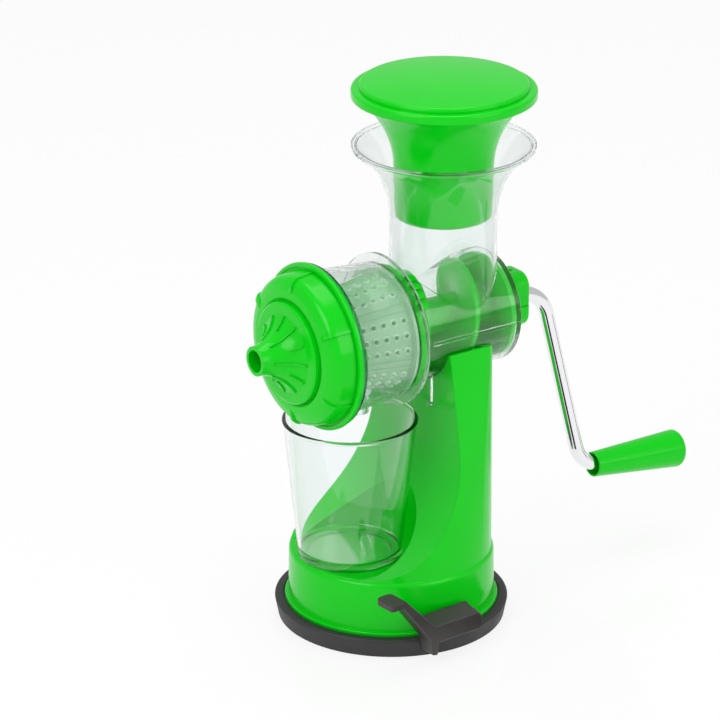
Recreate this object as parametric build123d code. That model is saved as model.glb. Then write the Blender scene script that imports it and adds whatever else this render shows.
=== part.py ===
"""Hand-cranked fruit juicer with a suction foot, a clear pressing chamber and a juice glass.

Millimetres, +Z up. The origin is on the table under the middle of the suction foot. The pressing
barrel lies along Y: the pulp cap looks towards -Y, the crank is on the +Y side and the suction
lever on the +X side.
"""
import os
from math import asin, atan2, cos, degrees, radians, sin, sqrt, tan

from build123d import *

# ---- fits and gaps ----
RUNNING_FIT = 0.05          # radial clearance of a shaft in its bearing
PRESS_GAP = 0.02            # radial gap between glued or pressed pieces
LOOSE_GAP = 0.4             # clearance between pieces that move past each other
SEAT_GAP = 0.3              # least gap left where a moving piece comes to rest

# ---- suction ring (rubber) ----
RING_R = 75.0
RING_TAPER = 2.55
RING_HEIGHT = 12.6
RING_TOP_WIDTH = 5.6
RING_LEDGE_DROP = 0.8
RING_BODY_WIDTH = 15.0
RING_CLAMP_LIP = 3.0
RING_CLAMP_THICK = 3.2
RING_FOOT_LIP_WIDTH = 3.5
RING_FOOT_LIP_THICK = 1.0
RING_EDGE_ROUND = 1.6

# ---- suction diaphragm (rubber) ----
DIAPHRAGM_THICK = 2.0
DIAPHRAGM_CROWN = 3.6
DIAPHRAGM_CENTRE_R = 19.0
DIAPHRAGM_RIM_WIDTH = 6.0

# ---- base plate ----
PLATE_GAP = 0.6
PLATE_THICK = 2.2
PLATE_STEP_WIDTH = 12.4
PLATE_STEP_RISE = 2.2
PLATE_SKIRT_WIDTH = 2.4
BEARING_POST_X = (-26.0, 26.0)
BEARING_POST_THICK = 4.0
BEARING_POST_WIDTH = 18.0
BEARING_POST_OVER = 8.0

# ---- base drum and column (one moulding) ----
WALL = 3.0
FLANGE_GAP = 1.2
FLANGE_THICK = 2.5
FLANGE_OUT = 2.2
DRUM_TAPER = 0.5
DRUM_TOP_Z = 47.5
DRUM_SHOULDER = 3.5
COLUMN_TOP_Z = 182.5
COLUMN_ROOT_Z = 46.0
COLUMN_ROOT_STEP = 1.5
COLUMN_HALF_WIDTH = 36.5
COLUMN_BACK_Y = 55.5
COLUMN_CORNER = 8.0
COLUMN_FRONT_Y = 19.0
COLUMN_LOFT_FRONT_Y = -106.5   # how far the loft runs on before the front cut
SIDE_BACK_ANGLE = 29.0         # azimuths that split the column's root circle
CORNER_BACK_ANGLE = 65.0
SIDE_FRONT_ANGLE = -65.0
FRONT_SWEEP_R = 77.0           # the front's lower curve
FRONT_SWEEP_DIP = 0.4          # how far that curve dips into the drum's top
POCKET_R = 42.0                # well that the glass stands in
POST_R = 4.5                   # screw posts under the drum
POST_INSET = 7.9
POST_TOP_Z = 40.0
POST_PILOT_R = 1.4
POST_WEB = 2.0
POST_ANGLES = (50.0, 130.0, 230.0, 310.0)
SCREW_DEPTH = 14.0
SCREW_R = 1.38
SCREW_HEAD_R = 3.4
SCREW_HEAD_THICK = 1.8
SEAT_Z = 127.0                 # shelf in the column that carries the chamber's foot
SEAT_THICK = 3.0

# ---- suction lever, cam and stud ----
LEVER_AZIMUTH = 4.0
SHAFT_Z = 18.6
SHAFT_R = 4.0
SHAFT_INNER = -30.0
LEVER_GAP = 0.6
LEVER_WIDTH = 12.0
LEVER_SOCKET_DEPTH = 9.2
LEVER_BOSS_R = 8.5
LEVER_UNDER_Z = 13.4
LEVER_TOP_Z = 25.4             # at the block's outer edge
LEVER_TOP_RISE = 3.9           # from there to its inner edge
LEVER_BLOCK_START = -29.3
LEVER_BLOCK_END = 8.8
LEVER_BLOCK_TOP_ROUND = 5.5
LEVER_BLOCK_LOW_ROUND = 4.5
LEVER_TURN_EASE = 0.8
LEVER_ARM = (                  # arm and foot: along, up and corner radius
    (-29.3, 25.4, 0.0), (-53.2, 49.6, 2.5), (-60.0, 49.6, 0.0), (-60.0, 45.4, 0.0),
    (-55.6, 45.4, 3.0), (-32.6, 15.9, 6.0), (-31.4, 6.0, 1.0), (-27.4, 5.2, 0.8),
    (-26.4, 13.4, 0.8), (-24.0, 13.4, 0.0), (-24.0, 20.0, 0.0))
LEVER_PAD_START = -64.6
LEVER_PAD_END = -52.6
LEVER_PAD_UNDER_Z = 45.4
LEVER_PAD_THICK = 4.2
LEVER_PAD_REACH = 16.8
LEVER_PAD_CORNER = 3.4
LEVER_EDGE = 1.2
CAM_R = 7.5
CAM_THROW = 2.75
CAM_WIDTH = 10.0
YOKE_THICK = 12.0
YOKE_WIDTH = 30.0
YOKE_WALL_TOP = 3.5
YOKE_WINDOW_WIDTH = 22.0
YOKE_PLAY = 1.0
STUD_FLANGE_R = 17.0
STUD_FLANGE_THICK = 1.2
STUD_NECK_R = 4.0
STUD_RIVET_R = 2.5
WASHER_R = 12.0
WASHER_THICK = 1.0
BUSH_R = 6.0

# ---- pressing barrel: clear chamber ----
BARREL_Z = 195.0
REAR_R = 36.7
REAR_BORE_R = 34.2
REAR_END_Y = 74.7
REAR_WALL = 3.0
PLATE_FRONT_Y = -8.0           # partition between the strainer end and the feed end
PARTITION_THICK = 3.0
PARTITION_R = 49.0
FRONT_R_FORE = 47.0
FRONT_R_AFT = 43.5
FRONT_WALL = 2.5
FRONT_FLANGE_R = 52.4
FRONT_FLANGE_THICK = 1.8
FRONT_END_Y = -56.4
RAIL_Z = 193.5
RAIL_HEIGHT = 2.2
RAIL_OUT = 1.3
RAIL_START_Y = 6.0
RAIL_END_Y = 73.0
SPOUT_Y = -27.0
SPOUT_R = 8.0
SPOUT_BORE_R = 6.0
SPOUT_TIP_Z = 144.2
HOOK_X = 20.0
HOOK_THICK = 3.0
HOOK_START_Y = 1.6
HOOK_END_Y = 16.5
HOOK_PIN_WIDTH = 2.5
HOOK_TIP_Z = 144.2
HOOK_TOP_Z = 168.0
HOOK_PIN_LENGTH = 4.0
HOOK_CURVE_RISE = 13.0
FOOT_HALF_WIDTH = 26.0
FOOT_GAP_Y = 2.0
FOOT_WALL = 2.5
FOOT_BOSS_R = 5.0

# ---- hopper ----
HOPPER_Y = 39.15
HOPPER_R = 34.0
HOPPER_WALL = 1.8
HOPPER_FLARE_Z = 262.0
HOPPER_RIM_R = 57.9
HOPPER_RIM_Z = 308.7
HOPPER_BEAD = 1.5

# ---- chamber collar ----
COLLAR_R = 40.5
COLLAR_WIDTH = 6.0
COLLAR_SECTOR_R = 43.8
COLLAR_TOOTH_R = 46.4
COLLAR_TEETH = 4
COLLAR_TOOTH_ANGLE = 8.4
COLLAR_SECTOR_MIDDLE = 47.6

# ---- strainer ----
STRAINER_R = 36.0
STRAINER_SLOPE = 0.156
STRAINER_WALL = 1.8
STRAINER_FLANGE_R = 40.5
STRAINER_FLANGE_THICK = 2.0
STRAINER_END_Y = -58.0
STRAINER_HOLE_R = 1.35
STRAINER_PITCH = 7.0
STRAINER_PANELS = 6
STRAINER_ROW_ANGLE = 15.5
STRAINER_ROWS = 3
STRAINER_FIRST_PANEL = 13.0
STRAINER_FIRST_HOLE = 3.5
STRAINER_MARGIN = 4.5
RIB_OFFSET = 4.0
RIB_WIDTH = 1.2
RIB_HEIGHT = 1.2

# ---- front cap ----
CAP_RIM_R = 53.4
CAP_RIM_WIDTH = 3.2
CAP_SEAL_THICK = 1.0
CAP_SEAL_R = 52.7
CAP_SEAL_WIDTH = 5.6
CAP_WALL = 2.4
CAP_GROOVE_R = 50.6
CAP_SHOULDER_R = 49.3
CAP_FACE_Y = -76.5
CAP_FACE_R = 39.5
CAP_FACE_ROUND = 3.0
CAP_FACE_SINK = 0.9            # groove round the disc, below the face
CAP_EDGE_R = 47.4              # rounded edge between the shoulder and the face
CAP_EDGE_BACK = 2.6
CAP_EDGE_ROUND = 6.5
CAP_DISC_R = 32.6
CAP_DISC_Y = -80.8
CAP_DISC_GROOVE_R = 34.8
CAP_FLARE_R = 25.0
NOZZLE_R = 9.5
NOZZLE_BORE_R = 7.1
NOZZLE_TIP_Y = -103.0
SPIGOT_R = 42.0
SPIGOT_END_Y = -49.0
GUIDE_WALL = 2.4
LUG_COUNT = 3
LUG_ANGLE = 25.0
LUG_LENGTH = 2.0
CAP_RIBS = 6
CAP_RIB_WIDTH = 2.6
CAP_RIB_HEIGHT = 1.5
FLARE_RIB_WIDTH = 1.3
FLARE_RIB_HEIGHT = 0.9

# ---- auger and drive ----
AUGER_GAP = 0.8
AUGER_CORE_R = 12.0
AUGER_CORE_END_R = 20.0
AUGER_NOSE_R = 6.0
AUGER_NOSE_Y = -72.0
AUGER_DISC_R = 33.9
AUGER_DISC_THICK = 3.0
AUGER_PITCH = 38.0
AUGER_FLIGHT = 3.2
AUGER_SHAFT_R = 5.0
AUGER_SHAFT_START_Y = 44.0
REAR_BUSH_R = 8.0
REAR_BUSH_FLANGE_R = 11.5
REAR_BUSH_FLANGE_THICK = 1.6
SEAL_R = 12.0
SEAL_THICK = 1.9
KNOB_START_Y = 77.0
KNOB_LENGTH = 21.0
KNOB_WIDTH = 27.0
KNOB_HEIGHT = 36.0
KNOB_CORNER = 9.0
KNOB_EDGE = 1.6
KNOB_NOTCH = 1.2
KNOB_NOTCH_WIDTH = 7.0
KNOB_SHAFT_DEPTH = 8.0
PIN_R = 1.5
ROD_R = 4.9
ROD_BEND_R = 24.0
CRANK_CORNER_Y = 116.7
CRANK_DROP = 133.2
CRANK_LEAN = 14.7              # outward lean of the arm, degrees
GRIP_DROOP = 4.1               # the grip's axis falls away from +Y by this, degrees
GRIP_START = 9.95              # from the arm's lower corner, along the grip's axis
GRIP_LENGTH = 70.5
GRIP_SMALL_R = 8.25
GRIP_LARGE_R = 12.8
GRIP_MOUTH_R = 7.25
GRIP_MOUTH_DEPTH = 9.0
GRIP_EDGE = 3.0
GRIP_POCKET_R = 8.5
GRIP_POCKET_DEPTH = 11.0
GRIP_PLUG_THICK = 2.0
CLIP_R = 7.0
CLIP_THICK = 1.2

# ---- pusher ----
PUSHER_LIFT = 31.0             # height of the stored pose above the seated one
PUSHER_FOOT_Z = 262.0
PUSHER_FOOT_R = 30.6
PUSHER_FOOT_ROUND = 2.5
PUSHER_GAP = 0.8
PUSHER_WALL = 2.5
PUSHER_FLANGE_R = 58.2
PUSHER_FLANGE_THICK = 6.0
LID_R = 53.0
LID_EDGE_HEIGHT = 3.2
LID_CROWN = 3.0
LID_THICK = 2.4
LID_SPIGOT = 4.0
LID_EDGE_ROUND = 2.0

# ---- juice glass ----
GLASS_Y = -32.0
GLASS_RIM_R = 42.9
GLASS_FOOT_R = 32.9
GLASS_WALL = 2.0
GLASS_BASE = 5.0
GLASS_LIP = 1.4
GLASS_FOOT_RISE = 0.6
GLASS_FOOT_WIDTH = 6.0

# ---- places worked out from the sizes above ----
RING_FOOT_R = RING_R - RING_TAPER
RING_BORE_R = RING_R - RING_BODY_WIDTH
RING_CLAMP_R = RING_BORE_R - RING_CLAMP_LIP
PLATE_R = RING_BORE_R - PLATE_GAP
PLATE_STEP_R = PLATE_R - PLATE_STEP_WIDTH
POST_CIRCLE_R = PLATE_R - POST_INSET
FLANGE_R = RING_R - RING_TOP_WIDTH - FLANGE_GAP
SKIRT_R = FLANGE_R - FLANGE_OUT
DRUM_TOP_R = SKIRT_R - DRUM_TAPER
COLUMN_ROOT_R = DRUM_TOP_R - COLUMN_ROOT_STEP
LEVER_INNER = FLANGE_R + LEVER_GAP
LEVER_OUTER = LEVER_INNER + LEVER_WIDTH
LEDGE_Z = RING_HEIGHT - RING_LEDGE_DROP
PLATE_TOP_Z = LEDGE_Z - RING_CLAMP_THICK
PLATE_UNDER_Z = PLATE_TOP_Z - PLATE_THICK
DECK_Z = PLATE_TOP_Z + PLATE_STEP_RISE
DIAPHRAGM_TOP_Z = RING_FOOT_LIP_THICK + DIAPHRAGM_THICK
CROWN_Z = RING_FOOT_LIP_THICK + DIAPHRAGM_CROWN
STUD_FLANGE_Z = CROWN_Z + DIAPHRAGM_THICK
DRUM_INNER_R = DRUM_TOP_R - WALL
SEAT_TOP_Z = SEAT_Z + SEAT_THICK
FRONT_SWEEP_Z = DRUM_TOP_Z + FRONT_SWEEP_R - FRONT_SWEEP_DIP
FRONT_SWEEP_Y = COLUMN_FRONT_Y - FRONT_SWEEP_R
CAM_Z = SHAFT_Z + CAM_THROW
PARTITION_BACK_Y = PLATE_FRONT_Y + PARTITION_THICK
REAR_WALL_Y = REAR_END_Y - REAR_WALL
CAP_BACK_Y = FRONT_END_Y - CAP_SEAL_THICK
CAP_RIM_Y = CAP_BACK_Y - CAP_RIM_WIDTH
HOPPER_BORE_R = HOPPER_R - HOPPER_WALL
HOPPER_FLARE = ((HOPPER_RIM_R - HOPPER_R) ** 2 + (HOPPER_RIM_Z - HOPPER_FLARE_Z) ** 2) / (
    2 * (HOPPER_RIM_R - HOPPER_R))
KNOB_END_Y = KNOB_START_Y + KNOB_LENGTH
ROD_START_Y = KNOB_START_Y + KNOB_SHAFT_DEPTH
GLASS_TOP_Z = BARREL_Z - CAP_RIM_R - LOOSE_GAP

BARREL_AXIS = Axis((0, 0, BARREL_Z), (0, 1, 0))
ALONG_BARREL = Plane(origin=(0, 0, BARREL_Z), x_dir=(0, 1, 0), z_dir=(1, 0, 0))
SIDE_VIEW = Plane.YZ
RADIAL = Vector(cos(radians(LEVER_AZIMUTH)), sin(radians(LEVER_AZIMUTH)), 0)
TANGENT = Vector(-sin(radians(LEVER_AZIMUTH)), cos(radians(LEVER_AZIMUTH)), 0)
LEVER_PLANE = Plane(origin=(0, 0, 0), x_dir=TANGENT, z_dir=RADIAL)


# ---- helpers ----
def outline(plane, *corners):
    """Flat face through the corners, each (a, b) or (a, b, corner radius), on the plane."""
    points = [Vector(corner[0], corner[1]) for corner in corners]
    count = len(corners)
    stops = []
    for i, corner in enumerate(corners):
        here = points[i]
        back = (points[i - 1] - here).normalized()
        ahead = (points[(i + 1) % count] - here).normalized()
        if len(corner) == 2:
            stops.append((here, None, here))
            continue
        half = radians(back.get_angle(ahead)) / 2
        reach = corner[2] / tan(half)
        middle = here + (back + ahead).normalized() * (corner[2] / sin(half) - corner[2])
        stops.append((here + back * reach, middle, here + ahead * reach))
    edges = []
    for i, (start, middle, end) in enumerate(stops):
        if middle is not None:
            edges.append(Edge.make_three_point_arc(start, middle, end))
        following = stops[(i + 1) % count][0]
        if (following - end).length > 1e-6:
            edges.append(Edge.make_line(end, following))
    return plane * Face(Wire(edges))


def closed_face(plane, *edges):
    """Flat face inside edges drawn in the plane's own coordinates."""
    return plane * Face(Wire(list(edges)))


def line(start, end):
    return Edge.make_line(Vector(*start), Vector(*end))


def arc(start, middle, end):
    return Edge.make_three_point_arc(Vector(*start), Vector(*middle), Vector(*end))


def along_barrel(*corners):
    """Solid of revolution about the barrel's axis; corners are (y, radius)."""
    return revolve(outline(ALONG_BARREL, *corners), BARREL_AXIS)


def upright(y, *corners):
    """Solid of revolution about the vertical line at y; corners are (radius, z)."""
    plane = Plane(origin=(0, y, 0), x_dir=(1, 0, 0), z_dir=(0, -1, 0))
    return revolve(outline(plane, *corners), Axis((0, y, 0), (0, 0, 1)))


def rod_between(start, end, radius):
    """Straight round bar from start to end."""
    start = Vector(*start)
    end = Vector(*end)
    face = Plane(origin=start, z_dir=end - start) * Circle(radius)
    return extrude(face, (end - start).length)


def round_barrel(shape, angle):
    """Copy turned about the barrel's axis, degrees from +X towards +Z."""
    return shape.rotate(BARREL_AXIS, -angle)


def spoke(angle, inner, outer, y_low, y_high, width):
    """Thin radial slab round the barrel's axis."""
    slab = Pos((inner + outer) / 2, (y_low + y_high) / 2, BARREL_Z) * Box(
        outer - inner, y_high - y_low, width)
    return round_barrel(slab, angle)


def wedge(inner, outer, y_low, y_high, angle, width_angle):
    """Sector of a ring round the barrel's axis, centred on the angle."""
    ring = revolve(
        outline(ALONG_BARREL, (y_low, inner), (y_high, inner), (y_high, outer), (y_low, outer)),
        BARREL_AXIS, width_angle)
    # the profile starts at +Z, which is 90 degrees from +X, and turns on towards +X
    return round_barrel(ring, angle - 90 + width_angle / 2)


def flare_radius(z, offset):
    """Radius of the hopper's flare at a height, a distance inside its outer face."""
    centre = HOPPER_R + HOPPER_FLARE
    reach = HOPPER_FLARE + offset
    return centre - sqrt(reach ** 2 - (z - HOPPER_FLARE_Z) ** 2)


def strainer_radius(y):
    """Outer radius of the strainer's cone."""
    return STRAINER_R - STRAINER_SLOPE * (PLATE_FRONT_Y - STRAINER_FLANGE_THICK - y)


# ---- suction foot ----
def suction_ring():
    foot_inner = RING_BORE_R - RING_FOOT_LIP_WIDTH
    top_inner = RING_R - RING_TOP_WIDTH
    return upright(
        0,
        (foot_inner, 0), (RING_FOOT_R, 0, 0.5), (RING_R, RING_HEIGHT, RING_EDGE_ROUND),
        (top_inner, RING_HEIGHT), (top_inner, LEDGE_Z), (RING_CLAMP_R, LEDGE_Z),
        (RING_CLAMP_R, PLATE_TOP_Z), (RING_BORE_R, PLATE_TOP_Z),
        (RING_BORE_R, RING_FOOT_LIP_THICK), (foot_inner, RING_FOOT_LIP_THICK))


def suction_diaphragm():
    rim = RING_BORE_R - SEAT_GAP
    flat = rim - DIAPHRAGM_RIM_WIDTH
    neck = STUD_NECK_R + SEAT_GAP
    return upright(
        0,
        (neck, CROWN_Z), (DIAPHRAGM_CENTRE_R, CROWN_Z), (flat, RING_FOOT_LIP_THICK),
        (rim, RING_FOOT_LIP_THICK), (rim, DIAPHRAGM_TOP_Z), (flat, DIAPHRAGM_TOP_Z),
        (DIAPHRAGM_CENTRE_R, STUD_FLANGE_Z), (neck, STUD_FLANGE_Z))


def base_plate():
    skirt = PLATE_R - PLATE_SKIRT_WIDTH
    step = PLATE_STEP_R - PLATE_THICK
    plate = upright(
        0,
        (0, PLATE_TOP_Z), (step, PLATE_TOP_Z), (step, PLATE_UNDER_Z), (skirt, PLATE_UNDER_Z),
        (skirt, DIAPHRAGM_TOP_Z), (PLATE_R, DIAPHRAGM_TOP_Z), (PLATE_R, PLATE_TOP_Z),
        (PLATE_STEP_R, PLATE_TOP_Z), (PLATE_STEP_R, DECK_Z), (0, DECK_Z))
    top = SHAFT_Z + BEARING_POST_OVER
    for middle in BEARING_POST_X:
        post = Box(BEARING_POST_WIDTH, top - PLATE_TOP_Z, BEARING_POST_THICK)
        plate += LEVER_PLANE * Pos(0, (top + PLATE_TOP_Z) / 2, middle) * post
    reach = BEARING_POST_X[1] + BEARING_POST_THICK
    bore = Cylinder(SHAFT_R + RUNNING_FIT, 2 * reach)
    plate -= LEVER_PLANE * Pos(0, SHAFT_Z, 0) * bore
    guide = Box(YOKE_WIDTH + 2 * LOOSE_GAP, 4 * PLATE_THICK, YOKE_THICK + 2 * LOOSE_GAP)
    plate -= LEVER_PLANE * Pos(0, PLATE_TOP_Z, 0) * guide
    for angle in POST_ANGLES:
        hole = Cylinder(SCREW_R + SEAT_GAP, 4 * PLATE_THICK)
        plate -= Rot(0, 0, angle) * Pos(POST_CIRCLE_R, 0, PLATE_TOP_Z) * hole
    return plate


def base_screw(angle):
    shank_top = PLATE_TOP_Z + SCREW_DEPTH
    under = PLATE_UNDER_Z
    screw = upright(
        0,
        (0, under - SCREW_HEAD_THICK), (SCREW_HEAD_R, under - SCREW_HEAD_THICK, 0.6),
        (SCREW_HEAD_R, under), (SCREW_R, under), (SCREW_R, shank_top - SCREW_R),
        (0, shank_top))
    slot = Pos(0, 0, under - SCREW_HEAD_THICK) * Box(SCREW_HEAD_R, 0.8, 1.0)
    return Rot(0, 0, angle) * Pos(POST_CIRCLE_R, 0, 0) * (screw - slot)


# ---- drum and column ----
def column_section(z, root, inset):
    """Section of the column: the root's arcs, or the rounded top, drawn in by the inset."""
    plane = Plane.XY.offset(z)
    if root:
        radius = COLUMN_ROOT_R - inset
        angles = (SIDE_FRONT_ANGLE, SIDE_BACK_ANGLE, CORNER_BACK_ANGLE, 180 - CORNER_BACK_ANGLE,
                  180 - SIDE_BACK_ANGLE, 180 - SIDE_FRONT_ANGLE)

        def spot(angle):
            return (radius * cos(radians(angle)), radius * sin(radians(angle)))

        edges = [arc(spot(a), spot((a + b) / 2), spot(b)) for a, b in zip(angles, angles[1:])]
        edges.append(line(spot(angles[-1]), spot(angles[0])))
        return closed_face(plane, *edges)
    half = COLUMN_HALF_WIDTH - inset
    back = COLUMN_BACK_Y - inset
    corner = COLUMN_CORNER - inset
    middle = corner * (1 - cos(radians(45)))
    front = COLUMN_LOFT_FRONT_Y
    return closed_face(
        plane,
        line((half, front), (half, back - corner)),
        arc((half, back - corner), (half - middle, back - middle), (half - corner, back)),
        line((half - corner, back), (corner - half, back)),
        arc((corner - half, back), (middle - half, back - middle), (-half, back - corner)),
        line((-half, back - corner), (-half, front)),
        line((-half, front), (half, front)))


def front_room(inset):
    """Everything ahead of the column's front face, which the inset draws back."""
    reach = FRONT_SWEEP_R + inset
    wide = 4 * RING_R
    face_y = FRONT_SWEEP_Y + reach
    low = FRONT_SWEEP_Z - reach
    curve = Pos(0, FRONT_SWEEP_Y, FRONT_SWEEP_Z) * Rot(0, 90, 0) * Cylinder(reach, wide)
    above = Pos(0, face_y - wide / 2, FRONT_SWEEP_Z + wide / 2) * Box(wide, wide, wide)
    ahead = Pos(0, FRONT_SWEEP_Y - wide / 2, low + wide / 2) * Box(wide, wide, wide)
    return curve + above + ahead


def column_body(inset):
    """Column drawn in by the inset, reaching down into the drum."""
    root = column_section(COLUMN_ROOT_Z, True, inset)
    body = loft([root, column_section(COLUMN_TOP_Z, False, inset)], ruled=True)
    pocket = Pos(0, GLASS_Y, COLUMN_TOP_Z + DRUM_TOP_Z - inset) * Cylinder(
        POCKET_R + inset, 2 * COLUMN_TOP_Z)
    room = front_room(inset)
    sunk = extrude(root, -2 * WALL) - room - pocket
    return (body - room - pocket) + sunk


def base_shell():
    shell = upright(
        0,
        (0, LEDGE_Z), (FLANGE_R, LEDGE_Z), (FLANGE_R, LEDGE_Z + FLANGE_THICK, 0.9),
        (SKIRT_R, LEDGE_Z + FLANGE_THICK), (DRUM_TOP_R, DRUM_TOP_Z, DRUM_SHOULDER),
        (0, DRUM_TOP_Z))
    column = column_body(0)
    shell += column
    boss_end = LEVER_INNER - LOOSE_GAP
    boss = LEVER_PLANE * Pos(0, SHAFT_Z, boss_end / 2) * Cylinder(LEVER_BOSS_R, boss_end)
    shell += boss & Pos(0, 0, DRUM_TOP_Z + LEDGE_Z) * Box(4 * RING_R, 4 * RING_R, 2 * DRUM_TOP_Z)
    cavity = upright(
        0, (0, 0), (DRUM_INNER_R, 0), (DRUM_INNER_R, DRUM_TOP_Z - WALL), (0, DRUM_TOP_Z - WALL))
    cavity += column_body(WALL)
    shell -= cavity
    seat = column & Pos(0, 0, SEAT_Z + SEAT_THICK / 2) * Box(4 * RING_R, 4 * RING_R, SEAT_THICK)
    shell += seat
    shell -= Pos(0, foot_middle_y(), SEAT_Z) * Cylinder(SCREW_R + SEAT_GAP, 4 * SEAT_THICK)
    for angle in POST_ANGLES:
        shell += screw_post(angle)
    for angle in POST_ANGLES:
        pilot = Cylinder(POST_PILOT_R, 2 * (SCREW_DEPTH + 1))
        shell -= Rot(0, 0, angle) * Pos(POST_CIRCLE_R, 0, PLATE_TOP_Z) * pilot
    shaft_hole = LEVER_PLANE * Pos(0, SHAFT_Z, RING_R) * Cylinder(BUSH_R, RING_R)
    shell -= shaft_hole
    saddle = Cylinder(REAR_R + LOOSE_GAP, 4 * RING_R)
    shell -= Pos(0, 0, BARREL_Z) * Rot(90, 0, 0) * saddle
    return shell


def screw_post(angle):
    """Post for a base screw with its web to the skirt, from the base plate up."""
    height = POST_TOP_Z - PLATE_TOP_Z
    middle = PLATE_TOP_Z + height / 2
    post = Pos(POST_CIRCLE_R, 0, middle) * Cylinder(POST_R, height)
    web_length = DRUM_INNER_R + WALL / 2 - POST_CIRCLE_R
    web_height = POST_TOP_Z - LEDGE_Z
    web = Pos(POST_CIRCLE_R + web_length / 2, 0, LEDGE_Z + web_height / 2) * Box(
        web_length, POST_WEB, web_height)
    return Rot(0, 0, angle) * (post + web)


def shaft_bush():
    inner = DRUM_INNER_R
    outer = LEVER_INNER - LOOSE_GAP
    ring = Cylinder(BUSH_R - PRESS_GAP, outer - inner) - Cylinder(SHAFT_R + RUNNING_FIT, RING_R)
    return LEVER_PLANE * Pos(0, SHAFT_Z, (inner + outer) / 2) * ring


# ---- lever, cam and stud ----
def lever_block():
    """Block of the lever that turns on the shaft, its top sloping outwards."""
    side = Plane(origin=TANGENT * LEVER_BLOCK_END, x_dir=RADIAL, z_dir=-TANGENT)
    section = outline(
        side,
        (LEVER_INNER, LEVER_UNDER_Z), (LEVER_OUTER, LEVER_UNDER_Z),
        (LEVER_OUTER, LEVER_TOP_Z), (LEVER_INNER, LEVER_TOP_Z + LEVER_TOP_RISE))
    block = extrude(section, 2 * LEVER_BLOCK_END - 2 * LEVER_BLOCK_START, dir=-TANGENT)
    end_edges = block.faces().sort_by(Axis(Vector(), TANGENT))[-1].edges().sort_by(Axis.Z)
    block = fillet(end_edges[0], LEVER_BLOCK_LOW_ROUND)
    end_edges = block.faces().sort_by(Axis(Vector(), TANGENT))[-1].edges().sort_by(Axis.Z)
    block = fillet(end_edges[-1], LEVER_BLOCK_TOP_ROUND)
    wide = 4 * CAM_R
    return block & extrude(outline(
        LEVER_PLANE.offset(LEVER_INNER),
        (LEVER_BLOCK_START, 0), (wide, 0), (wide, LEVER_TOP_Z + wide),
        (LEVER_BLOCK_START - wide, LEVER_TOP_Z + wide), (LEVER_BLOCK_START, LEVER_TOP_Z)),
        LEVER_WIDTH, dir=RADIAL)


def lever_pad():
    """Finger pad on the end of the lever's arm, reaching back over the drum."""
    inner = LEVER_OUTER - LEVER_PAD_REACH
    plan = Plane(origin=(0, 0, LEVER_PAD_UNDER_Z), x_dir=RADIAL, z_dir=(0, 0, 1))
    pad = extrude(outline(
        plan,
        (inner, LEVER_PAD_START, LEVER_PAD_CORNER), (LEVER_OUTER, LEVER_PAD_START, LEVER_EDGE),
        (LEVER_OUTER, LEVER_PAD_END), (inner, LEVER_PAD_END, LEVER_PAD_CORNER)),
        LEVER_PAD_THICK, dir=(0, 0, 1))
    return chamfer(pad.faces().sort_by(Axis.Z)[-1].edges(), LEVER_EDGE / 2)


def suction_lever():
    corners = [corner if corner[2] else corner[:2] for corner in LEVER_ARM]
    lever = extrude(outline(LEVER_PLANE.offset(LEVER_INNER), *corners), LEVER_WIDTH, dir=RADIAL)
    lever += lever_block()
    outer_edges = lever.faces().sort_by(Axis(Vector(), RADIAL))[-1].edges()
    lever = chamfer(outer_edges, LEVER_EDGE / 2)
    lever += lever_pad()
    sweep_out = RING_R + 2 * LOOSE_GAP
    clear_top = RING_HEIGHT + LOOSE_GAP
    lever -= Cylinder(sweep_out, 2 * clear_top)
    hub_r = SHAFT_Z - clear_top
    room = Box(4 * CAM_R, 8 * CAM_R, 2 * (sweep_out - LEVER_INNER))
    beside = Pos(hub_r - LEVER_TURN_EASE + 2 * CAM_R, 0, 0) * room
    below = Pos(2 * CAM_R, LOOSE_GAP - 4 * CAM_R, 0) * room
    hub = Cylinder(hub_r, 4 * LEVER_WIDTH)
    lever -= LEVER_PLANE * Pos(0, SHAFT_Z, LEVER_INNER) * (beside + below - hub)
    socket = Cylinder(SHAFT_R + PRESS_GAP, 2 * LEVER_SOCKET_DEPTH)
    return lever - LEVER_PLANE * Pos(0, SHAFT_Z, LEVER_INNER) * socket


def cam_shaft():
    outer = LEVER_INNER + LEVER_SOCKET_DEPTH - LOOSE_GAP
    return LEVER_PLANE * Pos(0, SHAFT_Z, (outer + SHAFT_INNER) / 2) * Cylinder(
        SHAFT_R, outer - SHAFT_INNER)


def lift_cam():
    cam = Cylinder(CAM_R, CAM_WIDTH) - Pos(0, -CAM_THROW, 0) * Cylinder(
        SHAFT_R + PRESS_GAP, 2 * CAM_WIDTH)
    return LEVER_PLANE * Pos(0, CAM_Z, 0) * cam


def pull_stud():
    window_top = CAM_Z + CAM_R + YOKE_PLAY
    window_low = CAM_Z - CAM_R - YOKE_PLAY
    top = window_top + YOKE_WALL_TOP
    yoke = LEVER_PLANE * Pos(0, (top + STUD_FLANGE_Z) / 2, 0) * Box(
        YOKE_WIDTH, top - STUD_FLANGE_Z, YOKE_THICK)
    window = Box(YOKE_WINDOW_WIDTH, window_top - window_low, 2 * YOKE_THICK)
    yoke -= LEVER_PLANE * Pos(0, CAM_Z, 0) * window
    flange_top = STUD_FLANGE_Z + STUD_FLANGE_THICK
    low = CROWN_Z - WASHER_THICK
    yoke += upright(
        0,
        (0, low), (STUD_RIVET_R, low), (STUD_RIVET_R, CROWN_Z), (STUD_NECK_R, CROWN_Z),
        (STUD_NECK_R, STUD_FLANGE_Z), (STUD_FLANGE_R, STUD_FLANGE_Z),
        (STUD_FLANGE_R, flange_top), (0, flange_top))
    return yoke


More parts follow.
